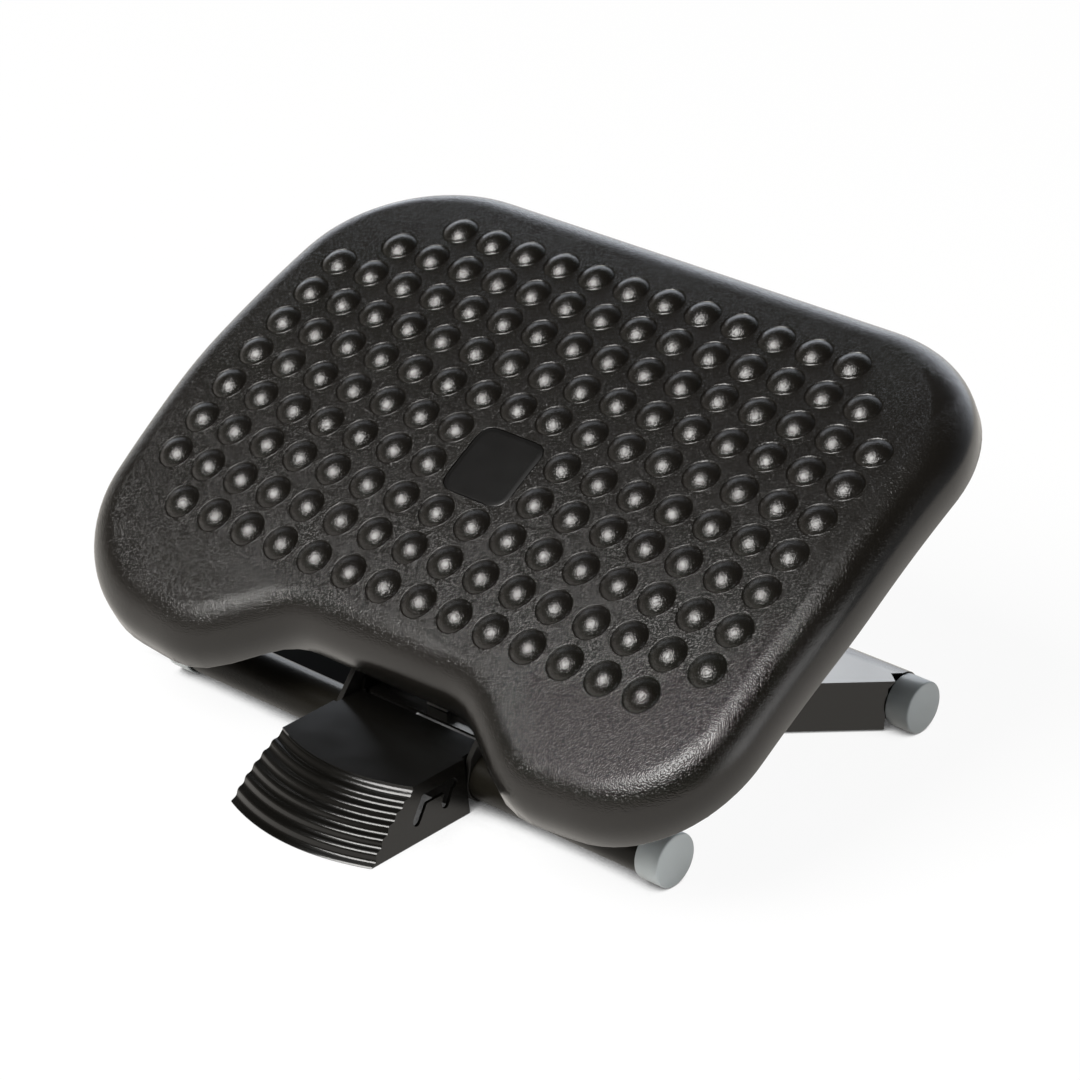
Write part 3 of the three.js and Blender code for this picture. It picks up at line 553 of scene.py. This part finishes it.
def sunk(places, drop):
    """Places [x, s] at a drop below the bowed top, measured along n."""
    return on_face(places[:, 0], places[:, 1], arch(places[:, 1]) - drop)


def leaning(solid, x, s, base):
    """A small turned solid stood at a place and a height n, leaned by atan(s / arch_radius) with the bow."""
    lean = math.atan(s / arch_radius)
    u, v, w = solid[..., 0], solid[..., 1], solid[..., 2]
    return on_face(x + u, s + v * math.cos(lean) + w * math.sin(lean),
                   base - v * math.sin(lean) + w * math.cos(lean))


def outline_ring(inset):
    """The outline drawn in by an inset: arcs of corner radius r tangent to both sides, joined by straights."""
    corners = outline_corners + tuple((-x, s, r, n) for x, s, r, n in reversed(outline_corners))
    places = np.array([(x, s) for x, s, _, _ in corners])
    points = []
    for i, (_, _, radius, steps) in enumerate(corners):
        here = places[i]
        back = places[i - 1] - here
        on = places[(i + 1) % len(corners)] - here
        back /= np.linalg.norm(back)
        on /= np.linalg.norm(on)
        half = math.acos(back @ on) / 2
        centre = here + (back + on) / np.linalg.norm(back + on) * radius / math.sin(half)
        start = here + back * radius / math.tan(half) - centre
        sign = 1 if back[0] * on[1] - back[1] * on[0] < 0 else -1
        angle = sign * (math.pi - 2 * half) * np.arange(steps + 1) / steps
        spoke = np.stack([start[0] * np.cos(angle) - start[1] * np.sin(angle),
                          start[0] * np.sin(angle) + start[1] * np.cos(angle)], -1)
        points.append(centre + spoke * (1 - inset * sign / radius))
    ring = np.concatenate(points)
    return ring[np.argsort(np.arctan2(ring[:, 1], ring[:, 0]), kind="stable")]


def ring_at(inset, angles):
    """Where rays from the middle at the given angles cross the outline drawn in by an inset."""
    ring = outline_ring(inset)
    own = np.arctan2(ring[:, 1], ring[:, 0])
    own = np.concatenate([own[-1:] - 2 * math.pi, own, own[:1] + 2 * math.pi])
    ring = np.concatenate([ring[-1:], ring, ring[:1]])
    i = np.searchsorted(own, angles) - 1
    start, edge = ring[i], ring[i + 1] - ring[i]
    ray = np.stack([np.cos(angles), np.sin(angles)], -1)
    across = ray[:, 0] * edge[:, 1] - ray[:, 1] * edge[:, 0]
    reach = (start[:, 0] * edge[:, 1] - start[:, 1] * edge[:, 0]) / across
    return ray * reach[:, None]


def square_loop(half_x, half_s, steps):
    """Points round a rectangle from its lower right corner, counter-clockwise, with steps to a side."""
    t = np.linspace(-1, 1, steps, endpoint=False)
    one = np.ones(steps)
    sides = [(one, t), (-t, one), (-one, -t), (t, -one)]
    return np.concatenate([np.stack([a * half_x, b * half_s], -1) for a, b in sides])


def rounded_square(half, radius, steps):
    """A rounded square whose points match square_loop's, drawn on to corner arcs of a radius."""
    loop = square_loop(half, half, steps)
    inner = half - radius
    over = np.maximum(np.abs(loop) - inner, 0)
    both = (over > 0).all(1)
    length = np.linalg.norm(over, axis=1)
    scale = np.where(both, radius / np.maximum(length, 1e-9), 1)
    return np.where(both[:, None], np.sign(loop) * (inner + over * scale[:, None]), loop)


def stud_cell():
    """One cell of the field: a ball cap, the groove round it, and the cell's square edge.

    Returns offsets [x, s, height] and faces. On the cap, height = sqrt(B^2 - r^2) - (B - stud_height), where
    the ball's radius is B = (stud_radius^2 + stud_height^2) / (2 stud_height).
    """
    ball = (stud_radius ** 2 + stud_height ** 2) / (2 * stud_height)
    loop = square_loop(stud_pitch_x / 2, stud_pitch_s / 2, cell_steps)
    count = len(loop)
    angle = 2 * math.pi * np.arange(count) / count - math.pi / 4
    cap = [(radius, math.sqrt(ball ** 2 - radius ** 2) - (ball - stud_height)) for radius in stud_ball_radii]
    rings = [np.array([[0, 0, stud_height]])]
    for radius, height in (*cap, *stud_groove):
        rings.append(np.stack([radius * np.cos(angle), radius * np.sin(angle), np.full(count, height)], -1))
    rings.append(np.column_stack([loop, np.zeros(count)]))
    faces = [[0, 1 + k, 1 + (k + 1) % count] for k in range(count)]
    faces += quads(len(rings) - 1, count, 1)
    return np.concatenate(rings), faces


def stud_places():
    """The middles [x, s] of the studs, without the four whose room the badge takes."""
    places = []
    for row, half in enumerate(stud_row_halves):
        s = stud_rows_ahead + ((len(stud_row_halves) - 1) / 2 - row) * stud_pitch_s
        first = 1 if row in badge_rows else 0
        places += [(sign * (k + 0.5) * stud_pitch_x, s) for k in range(first, half) for sign in (-1, 1)]
    return places


def field_boundary():
    """The stepped edge [x, s] of the studded field, counter-clockwise from the middle of its front."""
    rows = len(stud_row_halves)
    corners = [(0, -rows / 2)]
    for row, half in reversed(list(enumerate(stud_row_halves))):
        low = rows / 2 - row - 1
        corners += [(half, low), (half, low + 1)]
    corners = np.array(corners, float)
    left = corners[1:][::-1] * (-1, 1)
    loop = np.concatenate([corners, left, corners[:1]])
    points = []
    for a, b in zip(loop[:-1], loop[1:]):
        steps = int(round(np.abs(b - a).sum() * cell_steps))
        if steps:
            points.append(a + (b - a) * np.arange(steps)[:, None] / steps)
    return np.concatenate(points) * (stud_pitch_x, stud_pitch_s) + (0, stud_rows_ahead)


def add_pocket(shape):
    """The badge's pocket: the field round it, an eased brim, a wall and a floor."""
    steps = 2 * cell_steps
    half = badge_side / 2 + part_gap
    bottom = -badge_thick - part_gap
    edge = square_loop(stud_pitch_x, stud_pitch_s, steps)
    brim = rounded_square(half + pocket_ease, badge_corner + pocket_ease, steps)
    hole = rounded_square(half, badge_corner, steps)
    rings = [raised_loop(edge, stud_rows_ahead - stud_pitch_s, 0), raised_loop(brim, badge_s, 0),
             raised_loop(hole, badge_s, -pocket_ease), raised_loop(hole, badge_s, bottom),
             raised_loop(hole / 2, badge_s, bottom)]
    shape.grid(np.array(rings)).fan(rings[-1], raised(0, badge_s, bottom))


def add_rim(shape):
    """The skin from the field outwards, and back on its inner side to the middle.

    Each ring has an inset from the outline and a drop below the bowed top. On the roll of radius R they are
    R (1 - sin a) and R (1 - cos a) for a from 0 to a quarter turn; the lip follows, then the same on the inner
    side with R less the wall.
    """
    boundary = field_boundary()
    angles = np.arctan2(boundary[:, 1], boundary[:, 0])
    order = np.argsort(angles)
    boundary, angles = boundary[order], angles[order]
    inside = ring_at(rim_radius, angles)
    turns = [math.pi * k / (2 * roll_steps) for k in range(roll_steps + 1)]
    inner = rim_radius - skin_wall
    section = [(rim_radius * (1 - math.sin(turn)), rim_radius * (1 - math.cos(turn))) for turn in turns]
    section += lip
    section += [(skin_wall + inner * (1 - math.sin(turn)), skin_wall + inner * (1 - math.cos(turn)))
                for turn in reversed(turns)]
    rings = [sunk(boundary + (inside - boundary) * k / annulus_steps, 0) for k in range(annulus_steps)]
    rings += [sunk(ring_at(inset, angles), drop) for inset, drop in section]
    rings += [sunk(inside * share, skin_wall) for share in inner_shares]
    shape.grid(np.array(rings)).fan(rings[-1], on_face(0, 0, arch(0) - skin_wall))


def add_seats(shape):
    """Round columns inside the skin, down to the lip, where the rubber pads sit."""
    seat = upright([(0, 0), (0, pad_radius), (seat_height, pad_radius), (seat_height, 0)])
    for x, s in [(sign * x, s) for x, s in pad_places.values() for sign in (-1, 1)]:
        shape.grid(leaning(seat, x, s, arch(s) - rim_depth))


def add_bosses(shape):
    """Bored bosses under the skin for the cradle's screws."""
    low = arch(crest_ahead_shaft + cradle_half) - skin_wall - boss_height + part_gap
    for x, s in [(a * screw_x, b * screw_s - crest_ahead_shaft) for a in (-1, 1) for b in (-1, 1)]:
        high = arch(s) - skin_wall / 2
        boss = upright([(low + screw_reach, 0), (low + screw_reach, screw_bore), (low, screw_bore),
                        (low, boss_radius), (high, boss_radius), (high, 0)])
        shape.grid(on_face(x + boss[..., 0], s + boss[..., 1], boss[..., 2]))


def platform_mesh():
    """The platform: studded field, badge's pocket, rim and inner side, seats and bosses."""
    shape = Shape()
    cell, cell_faces = stud_cell()
    for x, s in stud_places():
        shape.add(raised(x + cell[:, 0], s + cell[:, 1], cell[:, 2]), cell_faces)
    add_pocket(shape)
    add_rim(shape)
    add_seats(shape)
    add_bosses(shape)
    mesh = shape.mesh("platform_body", weld=platform_weld)

    # The flat takes the whole grain, the domes and the grooves round them less, and it fades over the roll
    co = vertex_places(mesh)
    s = ((co[:, 1] - face_y) * cos_tilt + (co[:, 2] - face_z) * sin_tilt) / MM
    n = (-(co[:, 1] - face_y) * sin_tilt + (co[:, 2] - face_z) * cos_tilt) / MM
    drop = arch(s) - n
    groove = (drop > off_flat) & (np.abs(co[:, 0] / MM) < field_half) & (s > field_low) & (s < field_high)
    faded = np.clip(1 - (drop - grain_start) / grain_fade, grain_least, 1)
    set_grain(mesh, np.where(drop < -off_flat, grain_dome, np.where(groove, grain_groove, faded)))

    # The flat between the studs takes the bowed surface's own normal (0, s, arch_radius)
    flat = np.abs(drop) < on_flat
    length = np.hypot(s, arch_radius)
    across, out = s / length, arch_radius / length
    normal = np.stack([0 * s, across * cos_tilt - out * sin_tilt, across * sin_tilt + out * cos_tilt], -1)
    corner = np.zeros(len(mesh.loops), np.int32)
    mesh.loops.foreach_get("vertex_index", corner)
    mesh.normals_split_custom_set(np.where(flat[corner, None], normal[corner], 0).tolist())
    return mesh


def badge_mesh():
    """The badge: a rounded square plate with rolled edges, square to the bowed top."""
    rings = []
    for inset, drop in badge_edge:
        corner = max(badge_corner - inset, badge_least_corner)
        loop = rounded_square(badge_side / 2 - inset, corner, badge_steps)
        rings.append(raised_loop(loop, badge_s, -badge_sink - drop))
    shape = Shape().grid(np.array(rings))
    shape.fan(rings[0], raised(0, badge_s, -badge_sink))
    shape.fan(rings[-1], raised(0, badge_s, -badge_sink - badge_thick), flip=True)
    return shape.mesh("badge_face")


def pad_mesh(name, end, side):
    """A rubber pad: a turned disc with rounded edges, leaning with the lip."""
    x, s = pad_places[end]
    profile = [(0, 0), (0, pad_radius), (-pad_thick, pad_radius - pad_taper), (-pad_thick, 0)]
    disc = upright(rounded(profile, pad_ease))
    return Shape().grid(leaning(disc, x * side_sign[side], s, arch(s) - rim_depth - part_gap)).mesh(name)


ends_and_sides = [(end, side) for end in ("front", "rear") for side in ("left", "right")]
piece("platform_body", platform_mesh(), "platform_shell", platform_plastic)
piece("badge_face", badge_mesh(), "badge_plate", badge_plastic)
for end, side in ends_and_sides:
    name = f"{end}_{side}_pad_round"
    piece(name, pad_mesh(name, end, side), f"{end}_{side}_pad", rubber)


# ---- Tubes and caps

def tube_mesh(name, node):
    """A round tube along X with eased ends."""
    low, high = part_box(node)
    _, y, z = middle(node)
    x0, x1 = low[0] / MM, high[0] / MM
    inner = tube_radius - tube_wall
    eased_radius = tube_radius - tube_ease
    profile = [(x0 + tube_ease, tube_radius), (x1 - tube_ease, tube_radius), (x1, eased_radius), (x1, inner),
               (x0, inner), (x0, eased_radius), (x0 + tube_ease, tube_radius)]
    return Shape().grid(lathe(profile, (0, y, z), tube_sides)).mesh(name)


def cap_mesh(name, node, side):
    """A moulded end cap: a cup along X with rounded edges and a bore for the tube."""
    low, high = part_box(node)
    _, y, z = middle(node)
    radius = (high[2] - low[2]) / 2 / MM
    inner, outer = sorted((abs(low[0]) / MM, abs(high[0]) / MM))
    floor = outer - cap_floor
    half = rounded([(outer, 0), (outer, radius), (inner, radius), (inner, cap_bore), (floor, cap_bore),
                    (floor, 0)], cap_ease, steps=4)
    profile = [(side_sign[side] * along, r) for along, r in half]
    return Shape().grid(lathe(profile, (0, y, z), tube_sides)).mesh(name)


for node in ("front_tube", "rear_tube"):
    piece(f"{node}_round", tube_mesh(f"{node}_round", node), node, black_tube)
for end, side in ends_and_sides:
    node = f"{end}_{side}_cap"
    piece(f"{node}_moulded", cap_mesh(f"{node}_moulded", node, side), node, grey_plastic)


# ---- Pedal

def pedal_front_points(inset, depth, steps):
    """The front's profile [y, z]: an arc of radius R from the foot to the crown.

    At the share t of the way the radius is R - inset - depth sin^2(pi pedal_ribs t).
    """
    foot = np.array([-pedal_front, pedal_low])
    crown = np.array([-pedal_top_edge, pedal_top - pedal_rib_depth])
    chord = crown - foot
    half = np.linalg.norm(chord) / 2
    rise = math.atan2(chord[1], chord[0])
    to_centre = math.sqrt(pedal_arc_radius ** 2 - half ** 2)
    centre = (foot + crown) / 2 + to_centre * np.array([math.sin(rise), -math.cos(rise)])
    start = math.atan2(foot[1] - centre[1], foot[0] - centre[0])
    spread = 2 * math.asin(half / pedal_arc_radius)
    t = np.arange(steps + 1) / steps
    radius = pedal_arc_radius - inset - depth * np.sin(math.pi * pedal_ribs * t) ** 2
    angle = start - spread * t
    return np.stack([centre[0] + radius * np.cos(angle), centre[1] + radius * np.sin(angle)], -1)


def pedal_solid(name, inset, depth, rib_steps, stations, drop, low_drop, back):
    """A closed loft across the width of a profile [y, z], at the shares u from -1 to 1.

    x = u h(z), where h narrows evenly from the foot to the top, and y = profile - forward pedal_bow (1 - u^2),
    where forward is 1 on the front and falls to 0 over the top.
    """
    front = pedal_front_points(inset, depth, pedal_ribs * rib_steps)
    front[0, 1] = pedal_low - low_drop
    edge = np.array([[-pedal_top_edge + inset, pedal_top - drop]])
    top = edge + (np.array([[-back, pedal_top - drop]]) - edge) * pedal_top_shares
    outline = np.concatenate([front, edge, top, [[-back, pedal_low - low_drop]]])
    forward = np.concatenate([np.ones(len(front) + 1), 1 - pedal_top_shares[:, 0], [0]])
    side = np.linspace(-1, 1, stations)[:, None]
    y = outline[:, 0] - forward * pedal_bow * (1 - side ** 2)
    z = np.repeat(outline[None, :, 1], stations, 0)
    share = (z - pedal_low) / (pedal_top - pedal_low)
    half = pedal_half_foot + (pedal_half_top - pedal_half_foot) * share - inset
    points = np.stack([side * half * MM, front_y + y * MM, axis_z + z * MM], -1)
    return Shape().grid(points).plate(points[0]).plate(points[-1], flip=True).mesh(name)


def link_loop(a, b, half, steps=10):
    """The outline of a slot between two places, closed by half circles of radius half."""
    a, b = np.asarray(a, float), np.asarray(b, float)
    lean = math.atan2(b[1] - a[1], b[0] - a[0])
    t = np.linspace(-math.pi / 2, math.pi / 2, steps + 1)
    end = half * np.stack([np.cos(lean + t), np.sin(lean + t)], -1)
    return np.concatenate([b + end, a - end])


def ear_loop():
    """The outline [y, z] of an ear: from the pedal's top over the push face, then round the tube's axis."""
    ring = ear_radius * np.stack([np.cos(ear_turn), np.sin(ear_turn)], -1)
    head = [(neck_back, pedal_top), (pedal_neck_end, pedal_top), (pedal_neck_end + ear_slope, ear_top),
            (ear_push, ear_top), (ear_push, ear_push_low)]
    return np.concatenate([head, ring, [(neck_back, 0)]])


def plate_along_x(name, loop, x0, x1):
    """A flat outline [y, z] in millimetres from the front tube's axis, made thick along X."""
    rows = [np.column_stack([np.full(len(loop), x), loop]) for x in (x0, x1)]
    points = np.array(rows) * MM + np.array([0, front_y, axis_z])
    return Shape().grid(points).plate(points[0]).plate(points[1], flip=True).mesh(name)


def tube_room():
    """The bore for the front tube, right through the pedal."""
    reach = pedal_bore_reach
    profile = [(-reach, 0), (-reach, pedal_bore), (reach, pedal_bore), (reach, 0)]
    return Shape().grid(lathe(profile, (0, front_y, axis_z), tube_sides)).mesh("tube_room")


def carve(obj, meshes, operation="DIFFERENCE"):
    """Cuts or joins closed meshes into a piece with exact booleans, and keeps the result as its mesh."""
    for mesh in meshes:
        tool = bpy.data.objects.new("tool", mesh)
        bpy.context.scene.collection.objects.link(tool)
        step = obj.modifiers.new("carve", "BOOLEAN")
        step.operation = operation
        step.solver = "EXACT"
        step.object = tool
        bpy.context.view_layer.update()
        done = bpy.data.meshes.new_from_object(obj.evaluated_get(bpy.context.evaluated_depsgraph_get()))
        obj.modifiers.clear()
        done.name = obj.data.name
        obj.data = done
        bpy.data.objects.remove(tool)


def ease(obj, width, segments):
    """Rounds a piece's sharp edges with a bevel modifier."""
    smooth(obj.data)
    bevel = obj.modifiers.new("eased", "BEVEL")
    bevel.width = width * MM
    bevel.segments = segments
    bevel.limit_method = "ANGLE"
    bevel.angle_limit = math.radians(ease_angle)
    bevel.use_clamp_overlap = True
    bevel.harden_normals = True


neck_back = -pedal_back - pedal_wall
neck_low = pedal_top - pedal_skin
neck_loop = np.array([(neck_back, neck_low), (pedal_neck_end, neck_low), (pedal_neck_end, pedal_top),
                      (neck_back, pedal_top)])
outer = pedal_solid("pedal_shell", inset=0, depth=pedal_rib_depth, rib_steps=16, stations=49, drop=0,
                    low_drop=0, back=pedal_back)
room = pedal_solid("room", inset=pedal_wall, depth=0, rib_steps=4, stations=17, drop=pedal_skin,
                   low_drop=pedal_open_low, back=-neck_back)
neck = plate_along_x("neck", neck_loop, -pedal_neck_half, pedal_neck_half)
ears = [plate_along_x("ear", ear_loop(), pedal_neck_half - ear_thick, pedal_neck_half),
        plate_along_x("ear", ear_loop(), -pedal_neck_half, -pedal_neck_half + ear_thick)]
slot_cuts = [plate_along_x("slot", link_loop(a, b, slot_half), *(sign * x for x in slot_reach))
             for a, b in slot_runs for sign in (-1, 1)]
pedal = piece("pedal_shell", outer, "pedal", pedal_plastic)
carve(pedal, [room])
carve(pedal, [neck, *ears], "UNION")
carve(pedal, [tube_room(), *slot_cuts])
pedal.data.materials.clear()
pedal.data.materials.append(pedal_plastic)
height = (vertex_places(pedal.data)[:, 2] - axis_z) / MM
set_grain(pedal.data, np.where(height > pedal_top - pedal_top_band, grain_pedal_top, 1))
ease(pedal, pedal_ease, 2)


# ---- Pressed and folded steel, and small parts

def finished(node, look, width, segments):
    """A merged copy of a CAD node with its flat faces joined up and its edges eased."""
    work = bmesh.new()
    work.from_mesh(nodes[node].data)
    bmesh.ops.remove_doubles(work, verts=work.verts, dist=merge_distance)
    bmesh.ops.dissolve_limit(work, angle_limit=math.radians(flat_angle), verts=work.verts, edges=work.edges)
    mesh = bpy.data.meshes.new(f"{node}_eased")
    work.to_mesh(mesh)
    work.free()
    ease(piece(f"{node}_eased", mesh, node, look), width, segments)


for node, width in steel_eases.items():
    finished(node, deck_paint if node == "chassis_deck" else frame_paint, width, 2)
for node in sorted(nodes):
    if node not in pieces:
        is_nylon = "washer" in node or "spacer" in node
        finished(node, nylon if is_nylon else zinc, small_ease, 1)


# ---- Studio

def light(name, direction, size, power, colour):
    """A softbox that faces the object from a direction."""
    data = bpy.data.lights.new(name, "AREA")
    data.shape = "RECTANGLE"
    data.size, data.size_y = size
    data.energy = power
    data.color = colour
    lamp = bpy.data.objects.new(name, data)
    back = Vector(np.array(direction) / np.linalg.norm(direction))
    facing = back.to_track_quat("Z", "Y").to_matrix().to_4x4()
    lamp.matrix_world = Matrix.Translation(back * lamp_distance + lamp_aim) @ facing
    bpy.context.scene.collection.objects.link(lamp)
    return lamp


lamps = {name: light(name, *softbox) for name, softbox in softboxes.items()}

# The lamp behind lights the base alone
lower_pieces = bpy.data.collections.new("lower_pieces")
caps = [f"{end}_{side}_cap" for end, side in ends_and_sides]
for node in ("chassis_deck", "front_tube", "rear_tube", *caps):
    lower_pieces.objects.link(pieces[node])
lamps["back"].light_linking.receiver_collection = lower_pieces

# The dome is white to the camera; to other rays it is bright low down, behind and at the left
world = bpy.data.worlds.new("studio")
bpy.context.scene.world = world
world.use_nodes = True
tree = world.node_tree
background = tree.nodes["Background"]
camera_ray = tree.nodes.new("ShaderNodeLightPath").outputs["Is Camera Ray"]
way_x, way_y, way_z = axes(tree, "Generated")
behind = mapped(tree, way_y, *dome_behind, True)
around = mapped(tree, way_z, *dome_height, True)
leftward = mapped(tree, way_x, *dome_leftward, True)
soft = joined(tree, "MULTIPLY", around, behind, leftward)
tree.links.new(joined(tree, "MAXIMUM", camera_ray, soft), background.inputs["Strength"])
dome_colour = blended(tree, camera_ray, blended(tree, behind, warm_dome, cool_dome), white)
tree.links.new(dome_colour, background.inputs["Color"])

# The paper glows for the camera and in reflections, dimmed by painted shade from ambient occlusion and under
# the left half
paper = bpy.data.materials.new("paper")
paper.use_nodes = True
tree = paper.node_tree
tree.nodes.remove(tree.nodes["Principled BSDF"])
diffuse = tree.nodes.new("ShaderNodeBsdfDiffuse")
diffuse.inputs["Color"].default_value = (*grey_paper, 1)
glow = tree.nodes.new("ShaderNodeEmission")
# Painted contact shade: ambient occlusion darkens the floor's glow under and beside the object
shade = tree.nodes.new("ShaderNodeAmbientOcclusion")
shade.samples = shade_samples
shade.inputs["Distance"].default_value = shade_reach
painted_ao_shade = mapped(tree, shade.outputs["AO"], *shade_range, True)
# Painted shadow: the glow falls off by place in a patch close under the object's left half
place_x, place_y, _ = axes(tree, "Object")
sides = ((place_x, clear_right), (place_x, clear_left), (place_y, clear_front), (place_y, clear_rear))
clear = joined(tree, "MAXIMUM", *(mapped(tree, place, *bounds, True) for place, bounds in sides))
tree.links.new(joined(tree, "MULTIPLY", painted_ao_shade, clear), glow.inputs["Strength"])
rays = tree.nodes.new("ShaderNodeLightPath").outputs
tree.links.new(blended(tree, rays["Is Camera Ray"], warm_paper, white), glow.inputs["Color"])
seen = joined(tree, "MAXIMUM", rays["Is Camera Ray"], rays["Is Glossy Ray"], rays["Is Transmission Ray"])
mix = tree.nodes.new("ShaderNodeMixShader")
tree.links.new(mapped(tree, seen, 0, 1, 0, paper_glow), mix.inputs[0])
tree.links.new(diffuse.outputs[0], mix.inputs[1])
tree.links.new(glow.outputs[0], mix.inputs[2])
tree.links.new(mix.outputs[0], tree.nodes["Material Output"].inputs["Surface"])

floor_data = bpy.data.meshes.new("floor")
floor_corners = [(x * paper_reach, y * paper_reach, -paper_sink)
                 for x, y in ((-1, -1), (1, -1), (1, 1), (-1, 1))]
floor_data.from_pydata(floor_corners, [], [(0, 1, 2, 3)])
floor_data.materials.append(paper)
floor = bpy.data.objects.new("floor", floor_data)
bpy.context.scene.collection.objects.link(floor)

bpy.context.scene.view_settings.view_transform = "Standard"
